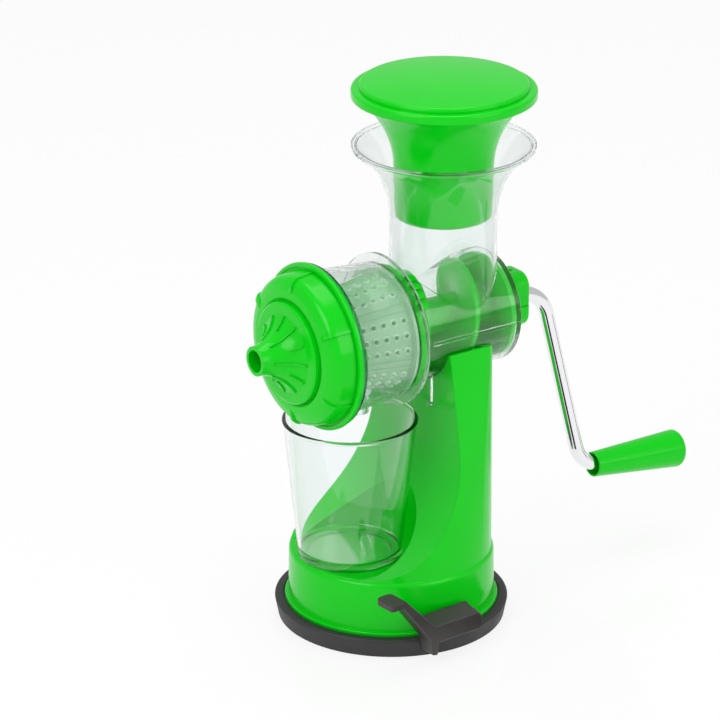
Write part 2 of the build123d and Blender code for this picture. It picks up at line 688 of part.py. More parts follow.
def stud_washer():
    low = CROWN_Z - WASHER_THICK
    bore = STUD_RIVET_R + PRESS_GAP
    return upright(0, (bore, low), (WASHER_R, low), (WASHER_R, CROWN_Z), (bore, CROWN_Z))


# ---- clear chamber with its hopper ----
def foot_middle_y():
    return COLUMN_FRONT_Y + (COLUMN_BACK_Y - COLUMN_FRONT_Y) / 2


def foot_depth():
    return COLUMN_BACK_Y - COLUMN_FRONT_Y - 2 * WALL - 2 * FOOT_GAP_Y


def front_bore(y):
    """Inner radius of the strainer end of the chamber."""
    share = (PLATE_FRONT_Y - y) / (PLATE_FRONT_Y - FRONT_END_Y)
    return FRONT_R_AFT - FRONT_WALL + share * (FRONT_R_FORE - FRONT_R_AFT)


def hopper_outer():
    bend = asin((HOPPER_RIM_Z - HOPPER_FLARE_Z) / HOPPER_FLARE) / 2
    middle = (HOPPER_R + HOPPER_FLARE * (1 - cos(bend)), HOPPER_FLARE_Z + HOPPER_FLARE * sin(bend))
    face = closed_face(
        Plane(origin=(0, HOPPER_Y, 0), x_dir=(1, 0, 0), z_dir=(0, -1, 0)),
        line((0, BARREL_Z), (HOPPER_R, BARREL_Z)),
        line((HOPPER_R, BARREL_Z), (HOPPER_R, HOPPER_FLARE_Z)),
        arc((HOPPER_R, HOPPER_FLARE_Z), middle, (HOPPER_RIM_R, HOPPER_RIM_Z)),
        line((HOPPER_RIM_R, HOPPER_RIM_Z), (0, HOPPER_RIM_Z)),
        line((0, HOPPER_RIM_Z), (0, BARREL_Z)))
    return revolve(face, Axis((0, HOPPER_Y, 0), (0, 0, 1)))


def hopper_inner():
    top = HOPPER_RIM_Z + HOPPER_BEAD
    middle_z = (HOPPER_FLARE_Z + top) / 2
    face = closed_face(
        Plane(origin=(0, HOPPER_Y, 0), x_dir=(1, 0, 0), z_dir=(0, -1, 0)),
        line((0, BARREL_Z), (HOPPER_BORE_R, BARREL_Z)),
        line((HOPPER_BORE_R, BARREL_Z), (HOPPER_BORE_R, HOPPER_FLARE_Z)),
        arc((HOPPER_BORE_R, HOPPER_FLARE_Z),
            (flare_radius(middle_z, HOPPER_WALL), middle_z),
            (flare_radius(top, HOPPER_WALL), top)),
        line((flare_radius(top, HOPPER_WALL), top), (0, top)),
        line((0, top), (0, BARREL_Z)))
    return revolve(face, Axis((0, HOPPER_Y, 0), (0, 0, 1)))


def hopper_bead():
    spine = HOPPER_RIM_R - HOPPER_BEAD
    return Pos(0, HOPPER_Y, HOPPER_RIM_Z - HOPPER_BEAD) * Torus(spine, HOPPER_BEAD)


def chamber_foot():
    """Hollow box under the rear barrel that plugs into the column, with its screw boss."""
    depth = foot_depth()
    height = BARREL_Z - SEAT_TOP_Z
    middle = Pos(0, foot_middle_y(), SEAT_TOP_Z + height / 2)
    box = middle * Box(2 * FOOT_HALF_WIDTH, depth, height)
    hollow = middle * Box(2 * (FOOT_HALF_WIDTH - FOOT_WALL), depth - 2 * FOOT_WALL, height)
    boss = middle * Cylinder(FOOT_BOSS_R, height)
    return (box - hollow) + boss


def hook(x):
    """Clear hook below the barrel, ending in an upright pin."""
    face = outline(
        SIDE_VIEW,
        (HOOK_START_Y, HOOK_TOP_Z), (HOOK_END_Y, HOOK_TOP_Z), (HOOK_END_Y, HOOK_TIP_Z),
        (HOOK_END_Y - HOOK_PIN_WIDTH, HOOK_TIP_Z),
        (HOOK_END_Y - HOOK_PIN_WIDTH - 1.0, HOOK_TIP_Z + HOOK_PIN_LENGTH, 1.0),
        (HOOK_START_Y, HOOK_TIP_Z + HOOK_CURVE_RISE))
    return Pos(x, 0, 0) * extrude(face, HOOK_THICK / 2, both=True)


def juicer_chamber():
    chamber = along_barrel(
        (FRONT_END_Y, 0), (FRONT_END_Y, FRONT_FLANGE_R, 0.4),
        (FRONT_END_Y + FRONT_FLANGE_THICK, FRONT_FLANGE_R, 0.4),
        (FRONT_END_Y + FRONT_FLANGE_THICK, FRONT_R_FORE), (PLATE_FRONT_Y, FRONT_R_AFT),
        (PLATE_FRONT_Y, PARTITION_R, 0.6), (PARTITION_BACK_Y, PARTITION_R, 0.6),
        (PARTITION_BACK_Y, REAR_R), (REAR_END_Y, REAR_R, 1.5), (REAR_END_Y, 0))
    chamber += hopper_outer()
    chamber += hopper_bead()
    chamber += chamber_foot()
    for side in (-1, 1):
        chamber += hook(side * HOOK_X)
        rail_length = RAIL_END_Y - RAIL_START_Y
        chamber += Pos(side * REAR_R, RAIL_START_Y + rail_length / 2, RAIL_Z) * Box(
            2 * RAIL_OUT, rail_length, RAIL_HEIGHT)
    spout_top = BARREL_Z - FRONT_R_AFT + FRONT_WALL
    chamber += Pos(0, SPOUT_Y, (spout_top + SPOUT_TIP_Z) / 2) * Cylinder(
        SPOUT_R, spout_top - SPOUT_TIP_Z)
    chamber -= along_barrel(
        (FRONT_END_Y, 0), (FRONT_END_Y, front_bore(FRONT_END_Y)),
        (PLATE_FRONT_Y, front_bore(PLATE_FRONT_Y)), (PLATE_FRONT_Y, REAR_BORE_R),
        (REAR_WALL_Y, REAR_BORE_R), (REAR_WALL_Y, 0))
    chamber -= hopper_inner()
    chamber -= Pos(0, SPOUT_Y, BARREL_Z - FRONT_R_AFT) * Cylinder(SPOUT_BORE_R, FRONT_R_AFT)
    chamber -= Pos(0, REAR_END_Y, BARREL_Z) * Rot(90, 0, 0) * Cylinder(REAR_BUSH_R, 4 * REAR_WALL)
    chamber -= Pos(0, foot_middle_y(), SEAT_TOP_Z) * Cylinder(POST_PILOT_R, 2 * SCREW_DEPTH)
    for k in range(LUG_COUNT):
        chamber += bayonet_wedge(
            SPIGOT_R + LOOSE_GAP, FRONT_R_AFT + FRONT_WALL / 2, FRONT_END_Y,
            bayonet_y() - LOOSE_GAP, k)
    return chamber


def bayonet_y():
    """Front face of the cap's bayonet lugs."""
    return SPIGOT_END_Y - LUG_LENGTH


def bayonet_wedge(inner, outer, y_low, y_high, k):
    return wedge(inner, outer, y_low, y_high, k * 360 / LUG_COUNT, LUG_ANGLE)


def chamber_screw():
    head_top = SEAT_Z
    tip = SEAT_TOP_Z + SCREW_DEPTH
    return upright(
        foot_middle_y(),
        (0, head_top - SCREW_HEAD_THICK), (SCREW_HEAD_R, head_top - SCREW_HEAD_THICK, 0.6),
        (SCREW_HEAD_R, head_top), (SCREW_R, head_top), (SCREW_R, tip - SCREW_R), (0, tip))


def chamber_collar():
    start = PARTITION_BACK_Y
    end = start + COLLAR_WIDTH
    inner = REAR_R + LOOSE_GAP
    collar = along_barrel(
        (start, inner), (end, inner), (end, COLLAR_R, 0.5), (start, COLLAR_R))
    root = (inner + COLLAR_R) / 2
    sector_angle = (COLLAR_TEETH - 0.4) * COLLAR_TOOTH_ANGLE
    collar += wedge(root, COLLAR_SECTOR_R, start, end, COLLAR_SECTOR_MIDDLE, sector_angle)
    for k in range(COLLAR_TEETH):
        angle = COLLAR_SECTOR_MIDDLE + (k - (COLLAR_TEETH - 1) / 2) * COLLAR_TOOTH_ANGLE
        collar += wedge(root, COLLAR_TOOTH_R, start, end, angle, 0.6 * COLLAR_TOOTH_ANGLE)
    return collar


def strainer():
    rear = PLATE_FRONT_Y
    flange = rear - STRAINER_FLANGE_THICK
    end = STRAINER_END_Y
    cone = along_barrel(
        (rear, STRAINER_R - STRAINER_WALL), (rear, STRAINER_FLANGE_R), (flange, STRAINER_FLANGE_R),
        (flange, STRAINER_R), (end, strainer_radius(end)),
        (end, strainer_radius(end) - STRAINER_WALL), (flange, STRAINER_R - STRAINER_WALL))
    lean = degrees(atan2(STRAINER_SLOPE, 1))
    holes = []
    ribs = []
    panel_angle = 360 / STRAINER_PANELS
    length = flange - end
    first = flange - STRAINER_FIRST_HOLE
    count = int((first - end - STRAINER_MARGIN) / STRAINER_PITCH) + 1
    drill = Rot(0, 90, 0) * Cylinder(STRAINER_HOLE_R, 6 * STRAINER_WALL)
    for panel in range(STRAINER_PANELS):
        middle = STRAINER_FIRST_PANEL + panel * panel_angle
        for row in range(STRAINER_ROWS):
            angle = middle + (row - (STRAINER_ROWS - 1) / 2) * STRAINER_ROW_ANGLE
            for step in range(count):
                y = first - step * STRAINER_PITCH
                hole = Pos(strainer_radius(y), y, BARREL_Z) * Rot(0, 0, lean) * drill
                holes.append(round_barrel(hole, angle))
        for side in (-RIB_OFFSET, RIB_OFFSET):
            bar = Pos(strainer_radius((flange + end) / 2), (flange + end) / 2, BARREL_Z) * Rot(
                0, 0, -lean) * Box(2 * RIB_HEIGHT, length / cos(radians(lean)) - 1, RIB_WIDTH)
            ribs.append(round_barrel(bar, middle + panel_angle / 2 + side))
    return (cone + ribs) - holes


# ---- front cap ----
def cap_flare_arc():
    """Middle point of the concave arc from the disc to the nozzle's end, as (y, radius)."""
    chord = Vector(NOZZLE_TIP_Y - CAP_DISC_Y, NOZZLE_R - CAP_FLARE_R)
    middle = Vector(CAP_DISC_Y, CAP_FLARE_R) + chord * 0.5
    dip = chord.length * 0.15
    inward = Vector(-chord.Y, chord.X).normalized()
    if inward.X < 0:
        inward = inward * -1
    return middle + inward * dip


def cap_outer(raise_by):
    """Revolved outer form of the cap, its flare raised by a distance."""
    middle = cap_flare_arc()
    y_disc = CAP_DISC_Y - raise_by
    face = closed_face(
        ALONG_BARREL,
        line((CAP_RIM_Y, 0), (CAP_RIM_Y, CAP_DISC_R)),
        line((CAP_RIM_Y, CAP_DISC_R), (CAP_DISC_Y + 1.2, CAP_DISC_R)),
        line((CAP_DISC_Y + 1.2, CAP_DISC_R), (y_disc + 0.4, CAP_DISC_R - 1.2)),
        line((y_disc + 0.4, CAP_DISC_R - 1.2), (y_disc, CAP_FLARE_R + raise_by)),
        arc((y_disc, CAP_FLARE_R + raise_by), (middle.X - raise_by, middle.Y + raise_by),
            (NOZZLE_TIP_Y, NOZZLE_R + raise_by)),
        line((NOZZLE_TIP_Y, NOZZLE_R + raise_by), (NOZZLE_TIP_Y, 0)),
        line((NOZZLE_TIP_Y, 0), (CAP_RIM_Y, 0)))
    return revolve(face, BARREL_AXIS)


def cap_shoulder():
    """Outer form of the cap from its rim to the face round the disc."""
    return along_barrel(
        (CAP_BACK_Y, 0), (CAP_BACK_Y, CAP_RIM_R, 0.6), (CAP_RIM_Y, CAP_RIM_R, 1.2),
        (CAP_RIM_Y, CAP_GROOVE_R), (CAP_RIM_Y + 0.8, CAP_GROOVE_R - 0.2),
        (CAP_RIM_Y + 0.8, CAP_SHOULDER_R),
        (CAP_FACE_Y + CAP_EDGE_BACK, CAP_EDGE_R, CAP_EDGE_ROUND),
        (CAP_FACE_Y, CAP_FACE_R, CAP_FACE_ROUND), (CAP_FACE_Y - 0.6, CAP_DISC_GROOVE_R),
        (CAP_FACE_Y + CAP_FACE_SINK, CAP_DISC_R), (CAP_FACE_Y + CAP_FACE_SINK, 0))


def cap_cavity():
    """Hollow of the cap behind its shoulder, disc and nozzle."""
    inner_y = CAP_FACE_Y + CAP_WALL + CAP_FACE_SINK
    shell = along_barrel(
        (CAP_BACK_Y, 0), (CAP_BACK_Y, CAP_SHOULDER_R - CAP_WALL),
        (CAP_RIM_Y - 1.0, CAP_SHOULDER_R - CAP_WALL),
        (CAP_FACE_Y + CAP_EDGE_BACK + CAP_WALL, CAP_EDGE_R - CAP_WALL, CAP_EDGE_ROUND - CAP_WALL),
        (inner_y, CAP_FACE_R - CAP_WALL, 1.0), (inner_y, 0))
    throat = guide_bore()
    funnel = along_barrel(
        (inner_y + 1, 0), (inner_y + 1, throat), (CAP_DISC_Y + CAP_WALL, throat),
        (CAP_DISC_Y - CAP_WALL, NOZZLE_BORE_R + 2 * CAP_WALL),
        (NOZZLE_TIP_Y + 4 * CAP_WALL, NOZZLE_BORE_R), (NOZZLE_TIP_Y, NOZZLE_BORE_R),
        (NOZZLE_TIP_Y, 0))
    return shell + funnel


def guide_bore():
    """Bore that carries the pulp on from the strainer's end."""
    return strainer_radius(STRAINER_END_Y) - STRAINER_WALL


def front_cap():
    cap = cap_shoulder() + cap_outer(0)
    raised = cap_outer(FLARE_RIB_HEIGHT)
    bars = []
    for k in range(2 * CAP_RIBS):
        inner = NOZZLE_R + CAP_WALL if k % 2 == 0 else (NOZZLE_R + CAP_FLARE_R) / 2
        outer = CAP_FLARE_R
        bars.append(spoke(k * 180 / CAP_RIBS, inner, outer, NOZZLE_TIP_Y, CAP_DISC_Y + 1,
                          FLARE_RIB_WIDTH))
    cap += raised & (bars[0] + bars[1:])
    hump = along_barrel(
        (CAP_RIM_Y + 0.8, 0), (CAP_RIM_Y + 0.8, CAP_SHOULDER_R + CAP_RIB_HEIGHT / 2),
        (CAP_FACE_Y + CAP_EDGE_BACK - 1.4, CAP_EDGE_R + CAP_RIB_HEIGHT - 0.4, CAP_EDGE_ROUND),
        (CAP_FACE_Y - 0.3, CAP_FACE_R + 2 * CAP_RIB_HEIGHT), (CAP_FACE_Y - 0.3, 0))
    shoulder_bars = [
        spoke(30 + k * 360 / CAP_RIBS, CAP_FACE_R, CAP_RIM_R, CAP_FACE_Y - 1, CAP_RIM_Y + 0.8,
              CAP_RIB_WIDTH)
        for k in range(CAP_RIBS)]
    cap += hump & (shoulder_bars[0] + shoulder_bars[1:])
    cap -= cap_cavity()
    spigot_inner = SPIGOT_R - CAP_WALL
    cap += along_barrel(
        (SPIGOT_END_Y, spigot_inner), (SPIGOT_END_Y, SPIGOT_R, 0.4),
        (CAP_FACE_Y + 5.0, SPIGOT_R), (CAP_FACE_Y + 2.0, spigot_inner))
    tube_outer = guide_bore() + GUIDE_WALL
    cap += along_barrel(
        (STRAINER_END_Y, guide_bore()), (STRAINER_END_Y, tube_outer),
        (CAP_FACE_Y + 1.5, tube_outer), (CAP_FACE_Y + 1.5, guide_bore()))
    lug_outer = front_bore(bayonet_y()) - LOOSE_GAP
    for k in range(LUG_COUNT):
        cap += bayonet_wedge(SPIGOT_R - CAP_WALL / 2, lug_outer, bayonet_y(), SPIGOT_END_Y, k)
    return cap


def cap_seal():
    inner = CAP_SEAL_R - CAP_SEAL_WIDTH
    return along_barrel(
        (FRONT_END_Y, inner), (FRONT_END_Y, CAP_SEAL_R), (CAP_BACK_Y, CAP_SEAL_R),
        (CAP_BACK_Y, inner))


# ---- auger and drive ----
def auger_envelope():
    """Space that the flight may fill: the feed bore, then the inside of the strainer."""
    start = REAR_WALL_Y - LOOSE_GAP - AUGER_DISC_THICK / 2
    flange = PLATE_FRONT_Y - STRAINER_FLANGE_THICK
    throat = STRAINER_R - STRAINER_WALL - AUGER_GAP
    end = STRAINER_END_Y
    return along_barrel(
        (start, 0), (start, throat), (flange, throat),
        (end, strainer_radius(end) - STRAINER_WALL - AUGER_GAP), (end, 0))


def auger_flight():
    start = REAR_WALL_Y - LOOSE_GAP - AUGER_DISC_THICK / 2
    height = start - STRAINER_END_Y + AUGER_FLIGHT
    root = AUGER_CORE_R / 2
    middle = (STRAINER_R + root) / 2
    helix = Edge.make_helix(
        AUGER_PITCH, height, middle, (0, start, BARREL_Z), (0, -1, 0), 0, True)
    spot = helix @ 0
    outward = spot - Vector(0, start, BARREL_Z)
    section = Plane(origin=spot, x_dir=outward, z_dir=helix % 0) * Rectangle(
        STRAINER_R - root, AUGER_FLIGHT)
    return sweep(section, helix, is_frenet=True)


def auger():
    disc_back = REAR_WALL_Y - LOOSE_GAP
    disc_front = disc_back - AUGER_DISC_THICK
    body = along_barrel(
        (disc_back, 0), (disc_back, AUGER_DISC_R), (disc_front, AUGER_DISC_R),
        (disc_front, AUGER_CORE_R, 3.0), (PLATE_FRONT_Y, AUGER_CORE_R),
        (STRAINER_END_Y, AUGER_CORE_END_R), (AUGER_NOSE_Y, AUGER_NOSE_R, 2.0), (AUGER_NOSE_Y, 0))
    body += auger_flight() & auger_envelope()
    seal_room = SEAL_THICK + LOOSE_GAP
    body -= along_barrel(
        (REAR_WALL_Y, 0), (REAR_WALL_Y, SEAL_R + LOOSE_GAP),
        (REAR_WALL_Y - seal_room, SEAL_R + LOOSE_GAP), (REAR_WALL_Y - seal_room, 0))
    return body - rod_between(
        (0, AUGER_SHAFT_START_Y, BARREL_Z), (0, REAR_END_Y, BARREL_Z), AUGER_SHAFT_R + PRESS_GAP)


def auger_shaft():
    shaft = rod_between(
        (0, AUGER_SHAFT_START_Y + LOOSE_GAP, BARREL_Z), (0, ROD_START_Y, BARREL_Z), AUGER_SHAFT_R)
    return shaft - knob_pin_bore(shaft_pin_y())


def rear_bush():
    outer = REAR_BUSH_R - PRESS_GAP
    flange_end = REAR_END_Y + REAR_BUSH_FLANGE_THICK
    bore = AUGER_SHAFT_R + RUNNING_FIT
    return along_barrel(
        (REAR_WALL_Y, bore), (REAR_WALL_Y, outer), (REAR_END_Y, outer),
        (REAR_END_Y, REAR_BUSH_FLANGE_R), (flange_end, REAR_BUSH_FLANGE_R, 0.4),
        (flange_end, bore))


def rear_seal():
    inner = REAR_BUSH_R - PRESS_GAP
    front = REAR_WALL_Y - SEAL_THICK
    return along_barrel(
        (front, inner), (front, SEAL_R), (REAR_WALL_Y, SEAL_R), (REAR_WALL_Y, inner))


def shaft_pin_y():
    return KNOB_START_Y + KNOB_SHAFT_DEPTH / 2


def rod_pin_y():
    return ROD_START_Y + (KNOB_LENGTH - KNOB_SHAFT_DEPTH) / 2


def knob_pin(y):
    """Cross pin that holds a shaft in the hub knob."""
    half = KNOB_HEIGHT / 2 - KNOB_EDGE
    return rod_between((0, y, BARREL_Z - half), (0, y, BARREL_Z + half), PIN_R)


def knob_pin_bore(y):
    half = KNOB_HEIGHT
    return rod_between((0, y, BARREL_Z - half), (0, y, BARREL_Z + half), PIN_R + PRESS_GAP)


def hub_knob():
    front = Plane(origin=(0, KNOB_START_Y, BARREL_Z), x_dir=(1, 0, 0), z_dir=(0, 1, 0))
    knob = extrude(front * RectangleRounded(KNOB_WIDTH, KNOB_HEIGHT, KNOB_CORNER), KNOB_LENGTH)
    rim = knob.faces().sort_by(Axis.Y)[-1].edges() + knob.faces().sort_by(Axis.Y)[0].edges()
    knob = fillet(rim, KNOB_EDGE)
    for side in (-1, 1):
        notch = Box(2 * KNOB_NOTCH, 2 * KNOB_LENGTH, KNOB_NOTCH_WIDTH)
        knob -= Pos(side * KNOB_WIDTH / 2, KNOB_END_Y, BARREL_Z) * notch
    knob -= rod_between(
        (0, 0, BARREL_Z), (0, ROD_START_Y, BARREL_Z), AUGER_SHAFT_R + PRESS_GAP)
    knob -= rod_between(
        (0, 0, BARREL_Z), (0, KNOB_END_Y + 1, BARREL_Z), ROD_R + PRESS_GAP)
    return knob - [knob_pin_bore(shaft_pin_y()), knob_pin_bore(rod_pin_y())]


def crank_corners():
    """The crank's path: out of the knob, down the leaning arm, then along the grip."""
    upper = Vector(0, CRANK_CORNER_Y, BARREL_Z)
    lower = upper + Vector(0, CRANK_DROP * tan(radians(CRANK_LEAN)), -CRANK_DROP)
    end = lower + grip_direction() * (GRIP_START + GRIP_LENGTH - GRIP_POCKET_DEPTH + CLIP_THICK + 1)
    return upper, lower, end


def grip_direction():
    return Vector(0, cos(radians(GRIP_DROOP)), -sin(radians(GRIP_DROOP)))


def grip_plane(distance):
    """Plane across the grip's axis, a distance from its small end."""
    lower = crank_corners()[1]
    origin = lower + grip_direction() * (GRIP_START + distance)
    return Plane(origin=origin, x_dir=(1, 0, 0), z_dir=grip_direction())


def crank_rod():
    upper, lower, end = crank_corners()
    start = Vector(0, ROD_START_Y, BARREL_Z)
    path = FilletPolyline(start, upper, lower, end, radius=ROD_BEND_R)
    section = Plane(origin=start, x_dir=(1, 0, 0), z_dir=(0, 1, 0)) * Circle(ROD_R)
    return sweep(section, path) - knob_pin_bore(rod_pin_y())


def grip_clip():
    place = grip_plane(GRIP_LENGTH - GRIP_POCKET_DEPTH + SEAT_GAP)
    return extrude(place * (Circle(CLIP_R) - Circle(ROD_R + PRESS_GAP)), CLIP_THICK)


def grip_axis():
    return Axis(grip_plane(0).origin, grip_direction())


def around_grip(*corners):
    """Solid of revolution about the grip's axis; corners are (radius, distance)."""
    frame = grip_plane(0)
    half_plane = Plane(origin=frame.origin, x_dir=(1, 0, 0), z_dir=frame.x_dir.cross(frame.z_dir))
    return revolve(outline(half_plane, *corners), grip_axis())


def crank_grip():
    pocket = GRIP_LENGTH - GRIP_POCKET_DEPTH
    bore = ROD_R + RUNNING_FIT
    return around_grip(
        (GRIP_MOUTH_R, 0), (GRIP_SMALL_R, 0, 0.4), (GRIP_LARGE_R, GRIP_LENGTH, GRIP_EDGE),
        (GRIP_POCKET_R, GRIP_LENGTH), (GRIP_POCKET_R, pocket), (bore, pocket),
        (bore, GRIP_MOUTH_DEPTH), (GRIP_MOUTH_R, GRIP_MOUTH_DEPTH))


def grip_plug():
    start = GRIP_LENGTH - GRIP_PLUG_THICK
    radius = GRIP_POCKET_R - PRESS_GAP
    return around_grip((0, start), (radius, start), (radius, GRIP_LENGTH), (0, GRIP_LENGTH))


# ---- pusher ----
def pusher_profile(inset):
    """Stem, flare and flange seat of the pusher, drawn in by the inset, as edges."""
    flare_z = HOPPER_FLARE_Z + PUSHER_LIFT
    flange_z = HOPPER_RIM_Z + SEAT_GAP + PUSHER_LIFT
    gap = HOPPER_WALL + PUSHER_GAP + inset
    foot_z = PUSHER_FOOT_Z + inset
    foot_r = PUSHER_FOOT_R - inset
    middle_z = (flare_z + flange_z) / 2
    top_r = flare_radius(flange_z - PUSHER_LIFT, gap)
    return foot_z, foot_r, flare_z, flange_z, middle_z, top_r, gap


def pusher_stem(inset, top_z):
    foot_z, foot_r, flare_z, flange_z, middle_z, top_r, gap = pusher_profile(inset)
    turn = PUSHER_FOOT_ROUND
    bend = turn * (1 - cos(radians(45)))
    face = closed_face(
        Plane(origin=(0, HOPPER_Y, 0), x_dir=(1, 0, 0), z_dir=(0, -1, 0)),
        line((0, foot_z), (foot_r - turn, foot_z)),
        arc((foot_r - turn, foot_z), (foot_r - bend, foot_z + bend), (foot_r, foot_z + turn)),
        line((foot_r, foot_z + turn), (HOPPER_R - gap, flare_z)),
        arc((HOPPER_R - gap, flare_z),
            (flare_radius(middle_z - PUSHER_LIFT, gap), middle_z), (top_r, flange_z)),
        line((top_r, flange_z), (top_r, top_z)),
        line((top_r, top_z), (0, top_z)),
        line((0, top_z), (0, foot_z)))
    return revolve(face, Axis((0, HOPPER_Y, 0), (0, 0, 1)))


def pusher_flange_z():
    return HOPPER_RIM_Z + SEAT_GAP + PUSHER_LIFT


def pusher_body():
    low = pusher_flange_z()
    top = low + PUSHER_FLANGE_THICK
    body = pusher_stem(0, top)
    body += upright(HOPPER_Y, (0, low), (PUSHER_FLANGE_R, low, 0.8), (PUSHER_FLANGE_R, top, 2.0),
                    (0, top))
    return body - pusher_stem(PUSHER_WALL, top)


def pusher_lid():
    low = pusher_flange_z() + PUSHER_FLANGE_THICK
    crown = low + LID_EDGE_HEIGHT + LID_CROWN
    opening = pusher_profile(PUSHER_WALL)[5]
    edge_top = low + LID_EDGE_HEIGHT
    turn = LID_EDGE_ROUND * (1 - cos(radians(45)))
    rise = arc((0, crown), (LID_R / 2, edge_top + 0.75 * LID_CROWN),
               (LID_R - LID_EDGE_ROUND, edge_top))
    spigot_outer = opening - LOOSE_GAP
    spigot_inner = spigot_outer - LID_THICK
    face = closed_face(
        Plane(origin=(0, HOPPER_Y, 0), x_dir=(1, 0, 0), z_dir=(0, -1, 0)),
        rise,
        arc((LID_R - LID_EDGE_ROUND, edge_top), (LID_R - turn, edge_top - turn),
            (LID_R, edge_top - LID_EDGE_ROUND)),
        line((LID_R, edge_top - LID_EDGE_ROUND), (LID_R, low)),
        line((LID_R, low), (spigot_outer, low)),
        line((spigot_outer, low), (spigot_outer, low - LID_SPIGOT)),
        line((spigot_outer, low - LID_SPIGOT), (spigot_inner, low - LID_SPIGOT)),
        line((spigot_inner, low - LID_SPIGOT), (spigot_inner, low + 0.6)),
        line((spigot_inner, low + 0.6), (0, crown - LID_THICK)),
        line((0, crown - LID_THICK), (0, crown)))
    return revolve(face, Axis((0, HOPPER_Y, 0), (0, 0, 1)))


# ---- juice glass ----
def juice_glass():
    low = DRUM_TOP_Z
    slope = (GLASS_RIM_R - GLASS_LIP / 2 - GLASS_FOOT_R) / (GLASS_TOP_Z - low)
    top_outer = GLASS_RIM_R - GLASS_LIP / 2
    inner_foot = GLASS_FOOT_R - GLASS_WALL + slope * GLASS_BASE
    glass = upright(
        GLASS_Y,
        (0, low + GLASS_FOOT_RISE), (GLASS_FOOT_R - GLASS_FOOT_WIDTH, low + GLASS_FOOT_RISE),
        (GLASS_FOOT_R - GLASS_FOOT_WIDTH - 1, low),
        (GLASS_FOOT_R, low, 1.5), (top_outer, GLASS_TOP_Z - GLASS_LIP),
        (top_outer - GLASS_WALL, GLASS_TOP_Z - GLASS_LIP),
        (inner_foot, low + GLASS_BASE, 3.0), (0, low + GLASS_BASE))
    lip = Pos(0, GLASS_Y, GLASS_TOP_Z - GLASS_LIP) * Torus(GLASS_RIM_R - GLASS_LIP, GLASS_LIP)
    return glass + lip


NODES = {
    "suction_ring": suction_ring,
    "suction_diaphragm": suction_diaphragm,
    "base_plate": base_plate,
    "base_shell": base_shell,
    "shaft_bush": shaft_bush,
    "suction_lever": suction_lever,
    "cam_shaft": cam_shaft,
    "lift_cam": lift_cam,
    "pull_stud": pull_stud,
    "stud_washer": stud_washer,
    "juicer_chamber": juicer_chamber,
    "chamber_screw": chamber_screw,
    "chamber_collar": chamber_collar,
    "strainer": strainer,
    "front_cap": front_cap,
    "cap_seal": cap_seal,
    "auger": auger,
    "auger_shaft": auger_shaft,
    "rear_bush": rear_bush,
    "rear_seal": rear_seal,
    "hub_knob": hub_knob,
    "crank_rod": crank_rod,
    "grip_clip": grip_clip,
    "crank_grip": crank_grip,
    "grip_plug": grip_plug,
    "pusher_body": pusher_body,
    "pusher_lid": pusher_lid,
    "juice_glass": juice_glass,
}

os.makedirs("parts", exist_ok=True)
for name, make in NODES.items():
    export_step(make(), f"parts/{name}.step")
for number, angle in enumerate(POST_ANGLES, 1):
    export_step(base_screw(angle), f"parts/base_screw_{number}.step")
for name, place in (("shaft_pin", shaft_pin_y()), ("rod_pin", rod_pin_y())):
    export_step(knob_pin(place), f"parts/{name}.step")
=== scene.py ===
"""Looks of a hand-cranked fruit juicer: moulded green plastic, a clear chamber and a chrome crank.

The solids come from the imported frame. The script finishes each of them with the surface that its
real material has, models what a solid leaves plain, and sets up a pale studio round the juicer.
"""
from math import asin, cos, pi, radians, sin

import bpy
from bpy.props import FloatProperty, FloatVectorProperty, IntProperty, PointerProperty
from mathutils import Matrix, Vector


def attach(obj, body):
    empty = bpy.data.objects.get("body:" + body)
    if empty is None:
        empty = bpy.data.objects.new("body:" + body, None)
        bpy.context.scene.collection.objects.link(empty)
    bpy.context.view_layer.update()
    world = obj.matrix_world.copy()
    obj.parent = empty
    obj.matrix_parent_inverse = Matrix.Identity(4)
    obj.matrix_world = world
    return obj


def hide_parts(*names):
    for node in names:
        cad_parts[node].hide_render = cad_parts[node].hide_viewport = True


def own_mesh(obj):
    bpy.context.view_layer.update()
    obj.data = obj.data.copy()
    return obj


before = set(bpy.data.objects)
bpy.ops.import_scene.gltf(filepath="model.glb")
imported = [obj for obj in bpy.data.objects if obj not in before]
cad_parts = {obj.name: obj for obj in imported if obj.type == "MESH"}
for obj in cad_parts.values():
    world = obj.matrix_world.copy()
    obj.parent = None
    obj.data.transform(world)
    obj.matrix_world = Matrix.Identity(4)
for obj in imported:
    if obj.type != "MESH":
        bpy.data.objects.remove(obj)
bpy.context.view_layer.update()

bl_info = {
    "name": "Hand juicer looks",
    "version": (1, 0, 0),
    "blender": (4, 5, 0),
    "location": "3D View > Sidebar > Juicer",
    "description": "Finishes the surfaces of a hand-cranked juicer and lights it in a pale studio",
    "category": "Object",
}

MM = 0.001
WELD = 0.01 * MM                    # points nearer than this are one point


def linear(hex_colour):
    """An sRGB hex colour as the linear values that shaders take."""
    parts = [int(hex_colour[i:i + 2], 16) / 255 for i in (1, 3, 5)]
    return tuple(c / 12.92 if c <= 0.04045 else ((c + 0.055) / 1.055) ** 2.4 for c in parts)


def scale_of(millimetres):
    """The texture scale whose features are this far apart on Object coordinates."""
    return 1 / (millimetres * MM)


# ---------------------------------------------------------------- nodes of the frame
GREEN_NODES = (
    "base_shell", "chamber_collar", "front_cap", "auger", "hub_knob", "crank_grip", "grip_plug",
    "pusher_body", "pusher_lid")
STEEL_NODES = (
    "cam_shaft", "stud_washer", "chamber_screw", "auger_shaft", "shaft_pin", "rod_pin",
    "grip_clip", "base_screw_1", "base_screw_2", "base_screw_3", "base_screw_4")
NYLON_NODES = ("shaft_bush", "lift_cam", "pull_stud", "rear_bush")

